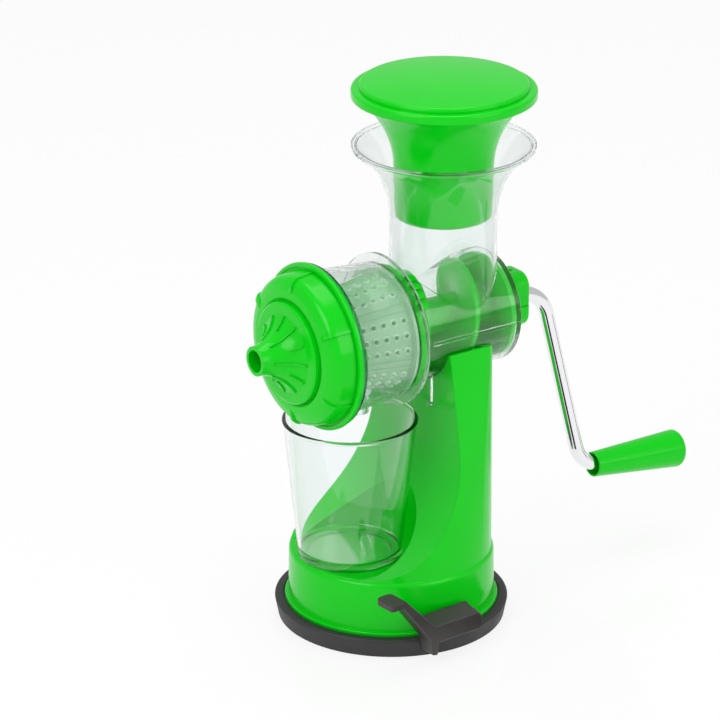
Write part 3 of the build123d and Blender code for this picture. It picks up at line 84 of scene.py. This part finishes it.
# ---------------------------------------------------------------- the strainer, metres and degrees
BARREL_Z = 195 * MM
STRAINER_FLANGE_Y = -10 * MM
STRAINER_R = 36 * MM                # at the flange
STRAINER_SLOPE = 0.156              # how fast the cone narrows towards the cap
HOLE_R = 1.35 * MM
HOLE_FIRST_Y = -13.5 * MM
HOLE_PITCH = 7 * MM
HOLES_IN_ROW = 6
PANELS = 6
FIRST_PANEL_ANGLE = 13
ROW_ANGLES = (-15.5, 0, 15.5)       # the rows of one panel, from its middle
RIM_SEGMENTS = 16
RIM_SMOOTH_ANGLE = 70
RIM_SUNK = 0.5 * MM                 # how far a rim reaches into the wall
RIM_SECTION = ((0, 0.55), (0.3, 1), (0.65, 0.75))   # shares of width and height, outwards
WALL_COVER = 0.66                   # how much of what lies behind the frosted wall is hidden
RIM_COVER = 0.92
RIM_LIGHTER = 1.3                   # the rims' colour over the wall's: thicker milky plastic, and partly a painted highlight

# ---------------------------------------------------------------- the diaphragm, metres and degrees
DIAPHRAGM_RIM_R = 59.7 * MM
DIAPHRAGM_FLAT_R = 53.7 * MM
DIAPHRAGM_CENTRE_R = 19 * MM
DIAPHRAGM_NECK_R = 4.3 * MM
DIAPHRAGM_FOOT_Z = 1 * MM
DIAPHRAGM_CROWN_Z = 4.6 * MM
DIAPHRAGM_THICK = 2 * MM
DIAPHRAGM_SEGMENTS = 96
DIAPHRAGM_SMOOTH_ANGLE = 50
RIPPLE_STEPS = 4                    # rings of points along one ripple
RIPPLE_HALF_HEIGHT = 0.35 * MM      # at the outermost ripple

# ---------------------------------------------------------------- finishes
# The chamber's bend is well under the 1.59 of real polystyrene, matched to the walls.
CHAMBER_FINISH = {"roughness": 0.01, "bend": 1.22, "gloss": 0.5, "thin": 0.12}
TUMBLER_FINISH = {"roughness": 0.0, "bend": 1.49, "gloss": 0.0, "thin": 0.0}
NOISE_LOW, NOISE_HIGH = 0.3, 0.7    # where most of a noise texture's values lie
EDGE_SAMPLES = 4                    # rays that round an edge

# ---------------------------------------------------------------- camera and light
LOOK_AT = Vector((0, -24.3 * MM, 177.9 * MM))
VIEW_AZIMUTH = 55.31
VIEW_ELEVATION = 22.03
VIEW_DISTANCE = 2.7635
LENS_MM = 220.8
SENSOR_MM = 36
LAMPS = (                           # name, place and width in metres, power in watts
    ("key_left", (0.4, -1.9, 1.5), 1.3, 19),
    ("fill_right", (1.9, 0.7, 1.0), 1.3, 11.5),
    ("top", (-0.3, 0.2, 1.9), 1.2, 10.5))
WORLD_FILL = 0.6                    # the world's strength as light and in gloss, where 1 is white
FLOOR_SIZE = 12
FLOOR_DROP = 0.2 * MM               # the floor's top lies this far under the foot
FLOOR_ROUGHNESS = 0.16
FLOOR_WHITE = 0.84                  # share of plain white, which leaves the rest for shadow
CARD_LIFT = 0.3                     # the cards' height, in millimetres as their corners are
BLACK_CARDS = {                     # corners on the table, where the crank's arm mirrors it
    "black_card_front": ((52, 86), (91, 113), (148, -40), (240, 31)),
    "black_card_back": ((118, 341), (99, 370), (305, 612), (252, 684))}


class JuicerColours(bpy.types.PropertyGroup):
    """Colours of the juicer's materials."""
    green: FloatVectorProperty(
        name="Green", description="Colour of the green mouldings", subtype="COLOR", size=3,
        min=0, max=1, default=linear("#00ce12"))
    rubber: FloatVectorProperty(
        name="Rubber", description="Colour of the suction ring", subtype="COLOR", size=3,
        min=0, max=1, default=linear("#2a2a2a"))
    lever: FloatVectorProperty(
        name="Lever", description="Colour of the suction lever", subtype="COLOR", size=3,
        min=0, max=1, default=linear("#34312f"))
    seal: FloatVectorProperty(
        name="Seal", description="Colour of the cap's seal", subtype="COLOR", size=3,
        min=0, max=1, default=linear("#1b6e57"))
    strainer: FloatVectorProperty(
        name="Strainer", description="Colour of the frosted strainer", subtype="COLOR", size=3,
        min=0, max=1, default=linear("#c6f0c8"))
    clear: FloatVectorProperty(
        name="Clear", description="Tint of the clear chamber", subtype="COLOR", size=3,
        min=0, max=1, default=linear("#f8fcfb"))
    tumbler: FloatVectorProperty(
        name="Tumbler", description="Tint of the juice glass", subtype="COLOR", size=3,
        min=0, max=1, default=linear("#f9fcfc"))
    floor: FloatVectorProperty(
        name="Floor", description="Colour of the studio floor", subtype="COLOR", size=3,
        min=0, max=1, default=linear("#fafafa"))


class JuicerSizes(bpy.types.PropertyGroup):
    """Sizes of the details that are modelled round the frame."""
    rim_width: FloatProperty(
        name="Rim width", description="Width of the raised rim round a strainer hole",
        unit="LENGTH", default=1.3 * MM, min=0.4 * MM, max=1.6 * MM)
    rim_height: FloatProperty(
        name="Rim height", description="Height of the raised rim over the strainer's wall",
        unit="LENGTH", default=1.2 * MM, min=0.2 * MM, max=1.4 * MM)
    ripples: IntProperty(
        name="Ripples", description="Moulded rings on the suction diaphragm",
        default=3, min=1, max=6)
    edge: FloatProperty(
        name="Edge", description="Rounding that the mould leaves on an edge",
        unit="LENGTH", default=0.5 * MM, min=0.1 * MM, max=1.5 * MM)


# ---------------------------------------------------------------- materials
def put(tree, kind, inputs=None, **settings):
    """Add a shader node. An input is its socket's value, or another node's output to link to it."""
    made = tree.nodes.new(kind)
    for name, value in settings.items():
        setattr(made, name, value)
    for name, value in (inputs or {}).items():
        if isinstance(value, bpy.types.NodeSocket):
            tree.links.new(value, made.inputs[name])
        else:
            made.inputs[name].default_value = value
    return made


def blank(name):
    """A new material with an empty tree and its output node."""
    material = bpy.data.materials.new(name)
    material.use_nodes = True
    tree = material.node_tree
    tree.nodes.clear()
    return material, tree, tree.nodes.new("ShaderNodeOutputMaterial")


def any_ray(tree, *kinds):
    """An output that is 1 for a ray of any of these kinds, and 0 for every other ray."""
    path = put(tree, "ShaderNodeLightPath")
    found = path.outputs[kinds[0]]
    for kind in kinds[1:]:
        either = put(tree, "ShaderNodeMath", {0: found, 1: path.outputs[kind]}, operation="MAXIMUM")
        found = either.outputs["Value"]
    return found


def rgba(colour, share=1):
    """A colour for a shader socket, made lighter or darker by a share."""
    return tuple(min(1, c * share) for c in colour) + (1,)


def polished_abs(name, colour, edge):
    """Injection-moulded ABS from a polished tool: a wet gloss, a faint orange peel that breaks up
    reflections, and slight streaks where the melt flowed."""
    material, tree, output = blank(name)
    place = put(tree, "ShaderNodeTexCoord").outputs["Object"]
    flow = put(tree, "ShaderNodeTexNoise", {"Vector": place, "Scale": scale_of(45), "Detail": 3.0})
    tone = put(tree, "ShaderNodeMix", {
        "Factor": flow.outputs["Fac"], "A": rgba(colour, 0.94), "B": rgba(colour, 1.06)},
        data_type="RGBA")
    handling = put(tree, "ShaderNodeTexNoise", {
        "Vector": place, "Scale": scale_of(9), "Detail": 5.0, "Roughness": 0.6})
    gloss = put(tree, "ShaderNodeMapRange", {
        "Value": handling.outputs["Fac"], "From Min": NOISE_LOW, "From Max": NOISE_HIGH,
        "To Min": 0.15, "To Max": 0.23})
    peel = put(tree, "ShaderNodeTexNoise", {"Vector": place, "Scale": scale_of(2.6), "Detail": 1.0})
    rounded = put(tree, "ShaderNodeBevel", {"Radius": edge}, samples=EDGE_SAMPLES)
    relief = put(tree, "ShaderNodeBump", {
        "Height": peel.outputs["Fac"], "Strength": 0.12, "Distance": 0.05 * MM,
        "Normal": rounded.outputs["Normal"]})
    shader = put(tree, "ShaderNodeBsdfPrincipled", {
        "Base Color": tone.outputs[2], "Roughness": gloss.outputs["Result"], "IOR": 1.53,
        "Specular IOR Level": 0.24, "Normal": relief.outputs["Normal"]})
    tree.links.new(shader.outputs["BSDF"], output.inputs["Surface"])
    return material


def clear_styrene(name, colour, roughness, bend, gloss, thin):
    """Injection-moulded clear polystyrene: bright and see-through with dark lines where a wall is
    seen edge on, and a slight waviness of the moulded wall. Lamps shine through it. The bend is its
    refractive index, the gloss a coat that carries the highlights of thin walls, and thin the share
    that is seen straight through."""
    material, tree, output = blank(name)
    place = put(tree, "ShaderNodeTexCoord").outputs["Object"]
    waves = put(tree, "ShaderNodeTexNoise", {"Vector": place, "Scale": scale_of(14), "Detail": 1.0})
    relief = put(tree, "ShaderNodeBump", {
        "Height": waves.outputs["Fac"], "Strength": 0.1, "Distance": 0.2 * MM})
    shader = put(tree, "ShaderNodeBsdfPrincipled", {
        "Base Color": rgba(colour), "Roughness": roughness, "IOR": bend,
        "Transmission Weight": 1.0, "Coat Weight": gloss, "Coat Roughness": 0.03,
        "Coat IOR": 1.5, "Normal": relief.outputs["Normal"]})
    through = put(tree, "ShaderNodeBsdfTransparent", {"Color": rgba(colour, 0.97)})
    lamp = any_ray(tree, "Is Shadow Ray", "Is Diffuse Ray")
    share = put(tree, "ShaderNodeMath", {0: lamp, 1: thin}, operation="MAXIMUM")
    both = put(tree, "ShaderNodeMixShader", {
        0: share.outputs["Value"], 1: shader.outputs["BSDF"], 2: through.outputs["BSDF"]})
    tree.links.new(both.outputs["Shader"], output.inputs["Surface"])
    return material


def frosted_polypropylene(name, colour, cover):
    """Natural polypropylene, moulded: milky, so what lies behind shows as a soft tint, with a satin
    surface. The cover is how much a wall of it hides."""
    material, tree, output = blank(name)
    place = put(tree, "ShaderNodeTexCoord").outputs["Object"]
    cloud = put(tree, "ShaderNodeTexNoise", {"Vector": place, "Scale": scale_of(12), "Detail": 3.0})
    tone = put(tree, "ShaderNodeMix", {
        "Factor": cloud.outputs["Fac"], "A": rgba(colour, 0.9), "B": rgba(colour)},
        data_type="RGBA")
    satin = put(tree, "ShaderNodeTexNoise", {
        "Vector": place, "Scale": scale_of(1.2), "Detail": 2.0})
    gloss = put(tree, "ShaderNodeMapRange", {
        "Value": satin.outputs["Fac"], "From Min": NOISE_LOW, "From Max": NOISE_HIGH,
        "To Min": 0.26, "To Max": 0.38})
    relief = put(tree, "ShaderNodeBump", {
        "Height": satin.outputs["Fac"], "Strength": 0.1, "Distance": 0.05 * MM})
    shader = put(tree, "ShaderNodeBsdfPrincipled", {
        "Base Color": tone.outputs[2], "Roughness": gloss.outputs["Result"], "IOR": 1.49,
        "Alpha": cover, "Normal": relief.outputs["Normal"]})
    tree.links.new(shader.outputs["BSDF"], output.inputs["Surface"])
    return material


def moulded_rubber(name, colour, grain_mm, edge):
    """Compression-moulded rubber: matt and slightly grainy, a little paler where it has rubbed."""
    material, tree, output = blank(name)
    place = put(tree, "ShaderNodeTexCoord").outputs["Object"]
    rubbed = put(tree, "ShaderNodeTexNoise", {
        "Vector": place, "Scale": scale_of(16), "Detail": 4.0})
    tone = put(tree, "ShaderNodeMix", {
        "Factor": rubbed.outputs["Fac"], "A": rgba(colour, 0.75), "B": rgba(colour, 1.3)},
        data_type="RGBA")
    grain = put(tree, "ShaderNodeTexNoise", {
        "Vector": place, "Scale": scale_of(grain_mm), "Detail": 2.0})
    gloss = put(tree, "ShaderNodeMapRange", {
        "Value": rubbed.outputs["Fac"], "From Min": NOISE_LOW, "From Max": NOISE_HIGH,
        "To Min": 0.5, "To Max": 0.66})
    rounded = put(tree, "ShaderNodeBevel", {"Radius": edge}, samples=EDGE_SAMPLES)
    relief = put(tree, "ShaderNodeBump", {
        "Height": grain.outputs["Fac"], "Strength": 0.25, "Distance": 0.1 * MM,
        "Normal": rounded.outputs["Normal"]})
    shader = put(tree, "ShaderNodeBsdfPrincipled", {
        "Base Color": tone.outputs[2], "Roughness": gloss.outputs["Result"], "IOR": 1.52,
        "Normal": relief.outputs["Normal"]})
    tree.links.new(shader.outputs["BSDF"], output.inputs["Surface"])
    return material


def spark_textured_abs(name, colour, edge):
    """Black ABS from a spark-eroded tool: a satin surface with a fine pebble. The real pebble is
    about 0.1 mm, drawn here at 0.7 mm so that it shows."""
    material, tree, output = blank(name)
    place = put(tree, "ShaderNodeTexCoord").outputs["Object"]
    pebble = put(tree, "ShaderNodeTexVoronoi", {"Vector": place, "Scale": scale_of(0.7)})
    shade = put(tree, "ShaderNodeTexNoise", {"Vector": place, "Scale": scale_of(14), "Detail": 3.0})
    tone = put(tree, "ShaderNodeMix", {
        "Factor": shade.outputs["Fac"], "A": rgba(colour, 0.85), "B": rgba(colour, 1.15)},
        data_type="RGBA")
    gloss = put(tree, "ShaderNodeMapRange", {
        "Value": shade.outputs["Fac"], "From Min": NOISE_LOW, "From Max": NOISE_HIGH,
        "To Min": 0.36, "To Max": 0.46})
    rounded = put(tree, "ShaderNodeBevel", {"Radius": edge}, samples=EDGE_SAMPLES)
    relief = put(tree, "ShaderNodeBump", {
        "Height": pebble.outputs["Distance"], "Strength": 0.12, "Distance": 0.05 * MM,
        "Normal": rounded.outputs["Normal"]})
    shader = put(tree, "ShaderNodeBsdfPrincipled", {
        "Base Color": tone.outputs[2], "Roughness": gloss.outputs["Result"], "IOR": 1.53,
        "Normal": relief.outputs["Normal"]})
    tree.links.new(shader.outputs["BSDF"], output.inputs["Surface"])
    return material


def natural_nylon(name):
    """Uncoloured moulded nylon: an ivory white that light sinks into a little, dully glossy."""
    material, tree, output = blank(name)
    place = put(tree, "ShaderNodeTexCoord").outputs["Object"]
    cloud = put(tree, "ShaderNodeTexNoise", {"Vector": place, "Scale": scale_of(5), "Detail": 3.0})
    tone = put(tree, "ShaderNodeMix", {
        "Factor": cloud.outputs["Fac"], "A": rgba(linear("#d9d4c4")), "B": rgba(linear("#ebe8dc"))},
        data_type="RGBA")
    relief = put(tree, "ShaderNodeBump", {
        "Height": cloud.outputs["Fac"], "Strength": 0.1, "Distance": 0.05 * MM})
    shader = put(tree, "ShaderNodeBsdfPrincipled", {
        "Base Color": tone.outputs[2], "Roughness": 0.38, "IOR": 1.53, "Subsurface Weight": 0.15,
        "Subsurface Radius": (1.0, 0.9, 0.7), "Subsurface Scale": 0.8 * MM,
        "Normal": relief.outputs["Normal"]})
    tree.links.new(shader.outputs["BSDF"], output.inputs["Surface"])
    return material


def chrome_plate(name):
    """Bright chrome on bent steel rod: mirror-like, with the slight ripple of the polished rod and
    a thin haze of fingerprints."""
    material, tree, output = blank(name)
    place = put(tree, "ShaderNodeTexCoord").outputs["Object"]
    haze = put(tree, "ShaderNodeTexNoise", {"Vector": place, "Scale": scale_of(18), "Detail": 4.0})
    gloss = put(tree, "ShaderNodeMapRange", {
        "Value": haze.outputs["Fac"], "From Min": 0.35, "From Max": 0.7,
        "To Min": 0.05, "To Max": 0.13})
    ripple = put(tree, "ShaderNodeTexNoise", {"Vector": place, "Scale": scale_of(6), "Detail": 1.0})
    relief = put(tree, "ShaderNodeBump", {
        "Height": ripple.outputs["Fac"], "Strength": 0.1, "Distance": 0.04 * MM})
    shader = put(tree, "ShaderNodeBsdfPrincipled", {
        "Base Color": rgba(linear("#efeff1")), "Metallic": 1.0,
        "Roughness": gloss.outputs["Result"], "Normal": relief.outputs["Normal"]})
    tree.links.new(shader.outputs["BSDF"], output.inputs["Surface"])
    return material


def zinc_steel(name):
    """Zinc-plated steel screws and turned pins: grey metal, dulled unevenly by the plating bath."""
    material, tree, output = blank(name)
    place = put(tree, "ShaderNodeTexCoord").outputs["Object"]
    bath = put(tree, "ShaderNodeTexNoise", {"Vector": place, "Scale": scale_of(3), "Detail": 4.0})
    tone = put(tree, "ShaderNodeMix", {
        "Factor": bath.outputs["Fac"], "A": rgba(linear("#8d9093")), "B": rgba(linear("#b3b6b8"))},
        data_type="RGBA")
    gloss = put(tree, "ShaderNodeMapRange", {
        "Value": bath.outputs["Fac"], "From Min": NOISE_LOW, "From Max": NOISE_HIGH,
        "To Min": 0.24, "To Max": 0.42})
    shader = put(tree, "ShaderNodeBsdfPrincipled", {
        "Base Color": tone.outputs[2], "Metallic": 1.0, "Roughness": gloss.outputs["Result"]})
    tree.links.new(shader.outputs["BSDF"], output.inputs["Surface"])
    return material


# ---------------------------------------------------------------- modelling helpers
def deselect():
    """Select nothing, because operators act on all that is selected."""
    bpy.ops.object.select_all(action="DESELECT")


def only(piece):
    """Select one object and make it the active one."""
    deselect()
    piece.select_set(True)
    bpy.context.view_layer.objects.active = piece


def turn_rings(name, segments, rings):
    """A solid ring turned about Z. One circle is extruded through (radius, height) rings, which go
    round the section, and back to the first."""
    deselect()
    radius, height = rings[0]
    bpy.ops.mesh.primitive_circle_add(vertices=segments, radius=radius, location=(0, 0, 0))
    piece = bpy.context.object
    piece.name = name
    bpy.ops.object.mode_set(mode="EDIT")
    bpy.ops.mesh.select_all(action="SELECT")
    bpy.ops.transform.translate(value=(0, 0, height))
    for new_radius, new_height in rings[1:] + rings[:1]:
        bpy.ops.mesh.extrude_region()
        share = new_radius / radius
        bpy.ops.transform.resize(value=(share, share, 1), center_override=(0, 0, height))
        bpy.ops.transform.translate(value=(0, 0, new_height - height))
        radius, height = new_radius, new_height
    bpy.ops.mesh.select_all(action="SELECT")
    bpy.ops.mesh.remove_doubles(threshold=WELD)
    bpy.ops.mesh.select_all(action="SELECT")
    bpy.ops.mesh.normals_make_consistent(inside=False)
    bpy.ops.object.mode_set(mode="OBJECT")
    return piece


def copy_to(piece, place):
    """A copy of a piece with its own mesh, put at a placement matrix."""
    twin = piece.copy()
    twin.data = piece.data.copy()
    bpy.context.scene.collection.objects.link(twin)
    twin.matrix_world = place
    return twin


def settle(piece):
    """Move a piece's placement into its mesh."""
    only(piece)
    bpy.ops.object.transform_apply(location=True, rotation=True, scale=True)
    return piece


def joined(pieces, name):
    """One piece from several."""
    deselect()
    for piece in pieces:
        piece.select_set(True)
    bpy.context.view_layer.objects.active = pieces[0]
    bpy.ops.object.join()
    whole = bpy.context.object
    whole.name = name
    return settle(whole)


def finish_with(material, *names):
    """Give frame nodes a material."""
    for name in names:
        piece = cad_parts[name]
        if piece.data.materials:
            for slot in piece.material_slots:
                slot.material = material
        else:
            piece.data.materials.append(material)


def smooth(piece, angle):
    """Shade smoothly over the edges whose faces meet within this many degrees."""
    only(piece)
    bpy.ops.object.shade_smooth_by_angle(angle=radians(angle))


# ---------------------------------------------------------------- operators
class JUICER_OT_green_mouldings(bpy.types.Operator):
    """Finish the green mouldings: base, collar, cap, auger, knob, grip and pusher"""
    bl_idname = "juicer.green_mouldings"
    bl_label = "Green mouldings"

    def execute(self, context):
        settings = context.scene
        material = polished_abs(
            "polished_green_abs", settings.juicer_colours.green, settings.juicer_sizes.edge)
        finish_with(material, *GREEN_NODES)
        return {"FINISHED"}


class JUICER_OT_clear_chamber(bpy.types.Operator):
    """Finish the clear chamber with its hopper"""
    bl_idname = "juicer.clear_chamber"
    bl_label = "Clear chamber"

    def execute(self, context):
        colour = context.scene.juicer_colours.clear
        material = clear_styrene("clear_moulded_styrene", colour, **CHAMBER_FINISH)
        finish_with(material, "juicer_chamber")
        return {"FINISHED"}


class JUICER_OT_juice_glass(bpy.types.Operator):
    """Finish the juice glass"""
    bl_idname = "juicer.juice_glass"
    bl_label = "Juice glass"

    def execute(self, context):
        colour = context.scene.juicer_colours.tumbler
        material = clear_styrene("clear_tumbler_styrene", colour, **TUMBLER_FINISH)
        finish_with(material, "juice_glass")
        return {"FINISHED"}


class JUICER_OT_strainer(bpy.types.Operator):
    """Finish the strainer and model the raised rims round its holes"""
    bl_idname = "juicer.strainer"
    bl_label = "Strainer"

    def execute(self, context):
        sizes = context.scene.juicer_sizes
        colour = context.scene.juicer_colours.strainer
        wall = frosted_polypropylene("frosted_polypropylene", colour, WALL_COVER)
        finish_with(wall, "strainer")
        # The rims are drawn lighter than the wall: thicker milky plastic, and partly a painted
        # highlight.
        thick_rims_with_highlight = frosted_polypropylene(
            "frosted_polypropylene_rims", rgba(colour, RIM_LIGHTER)[:3], RIM_COVER)
        width, height = sizes.rim_width, sizes.rim_height
        raised = [(HOLE_R + across * width, up * height) for across, up in RIM_SECTION]
        rim = turn_rings("hole_rim", RIM_SEGMENTS, [
            (HOLE_R, -RIM_SUNK), *raised, (HOLE_R + width, -RIM_SUNK)])
        smooth(rim, RIM_SMOOTH_ANGLE)
        lean = asin(STRAINER_SLOPE)
        rims = []
        for panel in range(PANELS):
            for offset in ROW_ANGLES:
                angle = radians(FIRST_PANEL_ANGLE + 360 / PANELS * panel + offset)
                for step in range(HOLES_IN_ROW):
                    y = HOLE_FIRST_Y - HOLE_PITCH * step
                    radius = STRAINER_R - STRAINER_SLOPE * (STRAINER_FLANGE_Y - y)
                    out = Vector((cos(angle), 0, sin(angle)))
                    normal = (out + Vector((0, -lean, 0))).normalized()
                    side = Vector((0, 1, 0)).cross(normal).normalized()
                    along = normal.cross(side)
                    middle = out * radius + Vector((0, y, BARREL_Z))
                    turn = Matrix((side, along, normal)).transposed().to_4x4()
                    rims.append(copy_to(rim, Matrix.Translation(middle) @ turn))
        bpy.data.objects.remove(rim)
        whole = joined(rims, "strainer_hole_rims")
        whole.data.materials.append(thick_rims_with_highlight)
        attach(whole, "base")
        return {"FINISHED"}


class JUICER_OT_rubber(bpy.types.Operator):
    """Finish the suction ring and the seals, and model the rippled suction diaphragm"""
    bl_idname = "juicer.rubber"
    bl_label = "Rubber"

    def execute(self, context):
        colours = context.scene.juicer_colours
        edge = context.scene.juicer_sizes.edge
        black = moulded_rubber("moulded_black_rubber", colours.rubber, 0.8, edge)
        teal = moulded_rubber("moulded_teal_silicone", colours.seal, 1.2, edge)
        finish_with(black, "suction_ring", "rear_seal")
        finish_with(teal, "cap_seal")
        self.diaphragm(black, context.scene.juicer_sizes.ripples)
        return {"FINISHED"}

    def diaphragm(self, black, ripples):
        """A flat rim, ripples that fade as they climb, and a flat middle that the stud holds."""
        crown = DIAPHRAGM_CROWN_Z - DIAPHRAGM_FOOT_Z
        outer = [(DIAPHRAGM_RIM_R, 0.0), (DIAPHRAGM_FLAT_R, 0.0)]
        steps = RIPPLE_STEPS * ripples
        for step in range(1, steps):
            share = step / steps
            radius = DIAPHRAGM_FLAT_R + (DIAPHRAGM_CENTRE_R - DIAPHRAGM_FLAT_R) * share
            wave = RIPPLE_HALF_HEIGHT * (1 - cos(2 * pi * share * ripples))
            outer.append((radius, crown * share + wave * (1 - share)))
        outer += [(DIAPHRAGM_CENTRE_R, crown), (DIAPHRAGM_NECK_R, crown)]
        under = [(radius, DIAPHRAGM_FOOT_Z + rise) for radius, rise in outer]
        over = [(radius, height + DIAPHRAGM_THICK) for radius, height in reversed(under)]
        rubber = turn_rings("diaphragm_rubber", DIAPHRAGM_SEGMENTS, under + over)
        smooth(rubber, DIAPHRAGM_SMOOTH_ANGLE)
        rubber.data.materials.append(black)
        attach(rubber, "base")
        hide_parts("suction_diaphragm")
        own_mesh(rubber)


class JUICER_OT_black_mouldings(bpy.types.Operator):
    """Finish the suction lever and the plate that clamps the ring"""
    bl_idname = "juicer.black_mouldings"
    bl_label = "Black mouldings"

    def execute(self, context):
        scene = context.scene
        material = spark_textured_abs(
            "spark_textured_black_abs", scene.juicer_colours.lever, scene.juicer_sizes.edge)
        finish_with(material, "suction_lever", "base_plate")
        return {"FINISHED"}


class JUICER_OT_metal_and_nylon(bpy.types.Operator):
    """Finish the crank, the screws, the shafts and the nylon bearings"""
    bl_idname = "juicer.metal_and_nylon"
    bl_label = "Metal and nylon"

    def execute(self, context):
        finish_with(chrome_plate("bright_chrome_plate"), "crank_rod")
        finish_with(zinc_steel("zinc_plated_steel"), *STEEL_NODES)
        finish_with(natural_nylon("natural_nylon"), *NYLON_NODES)
        return {"FINISHED"}


class JUICER_OT_studio(bpy.types.Operator):
    """Set the floor, the lights, the white surroundings and the camera"""
    bl_idname = "juicer.studio"
    bl_label = "Studio"

    def execute(self, context):
        scene = context.scene
        self.floor(scene.juicer_colours.floor)
        self.surroundings(scene)
        self.lamps(scene)
        self.dark_cards()
        self.camera(scene)
        scene.view_settings.view_transform = "Standard"
        return {"FINISHED"}

    def floor(self, colour):
        """A satin white table top. The camera sees it mostly plain white, with soft shadows."""
        deselect()
        bpy.ops.mesh.primitive_plane_add(size=FLOOR_SIZE, location=(0, 0, -FLOOR_DROP))
        floor = bpy.context.object
        floor.name = "studio_floor"
        settle(floor)
        material, tree, output = blank("satin_white_table")
        lit = put(tree, "ShaderNodeBsdfPrincipled", {
            "Base Color": rgba(colour), "Roughness": FLOOR_ROUGHNESS})
        white = put(tree, "ShaderNodeEmission", {"Color": (1, 1, 1, 1), "Strength": 1.0})
        seen = any_ray(tree, "Is Camera Ray", "Is Glossy Ray", "Is Transmission Ray")
        share = put(tree, "ShaderNodeMath", {0: seen, 1: FLOOR_WHITE}, operation="MULTIPLY")
        both = put(tree, "ShaderNodeMixShader", {
            0: share.outputs["Value"], 1: lit.outputs["BSDF"], 2: white.outputs["Emission"]})
        tree.links.new(both.outputs["Shader"], output.inputs["Surface"])
        floor.data.materials.append(material)

    def surroundings(self, scene):
        """White to the eye and through clear plastic, and a softer fill as light and in gloss."""
        world = bpy.data.worlds.new("white_studio")
        world.use_nodes = True
        tree = world.node_tree
        tree.nodes.clear()
        output = tree.nodes.new("ShaderNodeOutputWorld")
        fill = put(tree, "ShaderNodeBackground", {"Color": (1, 1, 1, 1), "Strength": WORLD_FILL})
        white = put(tree, "ShaderNodeBackground", {"Color": (1, 1, 1, 1), "Strength": 1.0})
        seen = any_ray(tree, "Is Camera Ray", "Is Transmission Ray")
        both = put(tree, "ShaderNodeMixShader", {
            0: seen, 1: fill.outputs["Background"], 2: white.outputs["Background"]})
        tree.links.new(both.outputs["Shader"], output.inputs["Surface"])
        scene.world = world

    def lamps(self, scene):
        """Two soft boxes and one overhead, aimed at the juicer's middle."""
        for name, place, size, power in LAMPS:
            lamp = bpy.data.lights.new(name, "AREA")
            lamp.size = size
            lamp.energy = power
            holder = bpy.data.objects.new(name, lamp)
            scene.collection.objects.link(holder)
            holder.location = place
            aim = LOOK_AT - Vector(place)
            holder.rotation_euler = aim.to_track_quat("-Z", "Y").to_euler()

    def dark_cards(self):
        """Black cards on the table that only gloss sees: painted dark reflections, which draw the
        chrome's dark streaks.
        """
        material, tree, output = blank("black_card")
        dull = put(tree, "ShaderNodeBsdfPrincipled", {
            "Base Color": rgba(linear("#141414")), "Roughness": 0.9})
        tree.links.new(dull.outputs["BSDF"], output.inputs["Surface"])
        for name, corners in BLACK_CARDS.items():
            deselect()
            bpy.ops.mesh.primitive_plane_add(size=2, location=(0, 0, 0))
            card = bpy.context.object
            card.name = name
            for vertex, (x, y) in zip(card.data.vertices, corners):
                vertex.co = Vector((x, y, CARD_LIFT)) * MM
            card.data.materials.append(material)
            card.visible_camera = False
            card.visible_diffuse = False
            card.visible_transmission = False
            card.visible_shadow = False

    def camera(self, scene):
        """A long lens aimed down at the juicer, from its front right."""
        azimuth, elevation = radians(VIEW_AZIMUTH), radians(VIEW_ELEVATION)
        back = Vector((
            sin(azimuth) * cos(elevation), -cos(azimuth) * cos(elevation), sin(elevation)))
        lens = bpy.data.cameras.new("photo_camera")
        lens.lens = LENS_MM
        lens.sensor_width = SENSOR_MM
        lens.sensor_fit = "HORIZONTAL"
        camera = bpy.data.objects.new("photo_camera", lens)
        scene.collection.objects.link(camera)
        camera.location = LOOK_AT + VIEW_DISTANCE * back
        camera.rotation_euler = (-back).to_track_quat("-Z", "Y").to_euler()
        scene.camera = camera


OPERATORS = (
    JUICER_OT_green_mouldings, JUICER_OT_clear_chamber, JUICER_OT_juice_glass, JUICER_OT_strainer,
    JUICER_OT_rubber, JUICER_OT_black_mouldings, JUICER_OT_metal_and_nylon, JUICER_OT_studio)


class JUICER_PT_panel(bpy.types.Panel):
    """The juicer's steps, sizes and colours"""
    bl_idname = "JUICER_PT_panel"
    bl_label = "Hand juicer"
    bl_space_type = "VIEW_3D"
    bl_region_type = "UI"
    bl_category = "Juicer"

    def draw(self, context):
        for group in (context.scene.juicer_sizes, context.scene.juicer_colours):
            box = self.layout.box()
            for name in group.__annotations__:
                box.prop(group, name)
        for operator in OPERATORS:
            self.layout.operator(operator.bl_idname)


CLASSES = (JuicerColours, JuicerSizes) + OPERATORS + (JUICER_PT_panel,)


def register():
    for item in CLASSES:
        bpy.utils.register_class(item)
    bpy.types.Scene.juicer_colours = PointerProperty(type=JuicerColours)
    bpy.types.Scene.juicer_sizes = PointerProperty(type=JuicerSizes)


def unregister():
    del bpy.types.Scene.juicer_colours
    del bpy.types.Scene.juicer_sizes
    for item in reversed(CLASSES):
        bpy.utils.unregister_class(item)


def main():
    """Run every step in order."""
    register()
    deselect()
    for operator in OPERATORS:
        getattr(bpy.ops.juicer, operator.bl_idname.split(".")[1])()


if __name__ == "__main__":
    main()
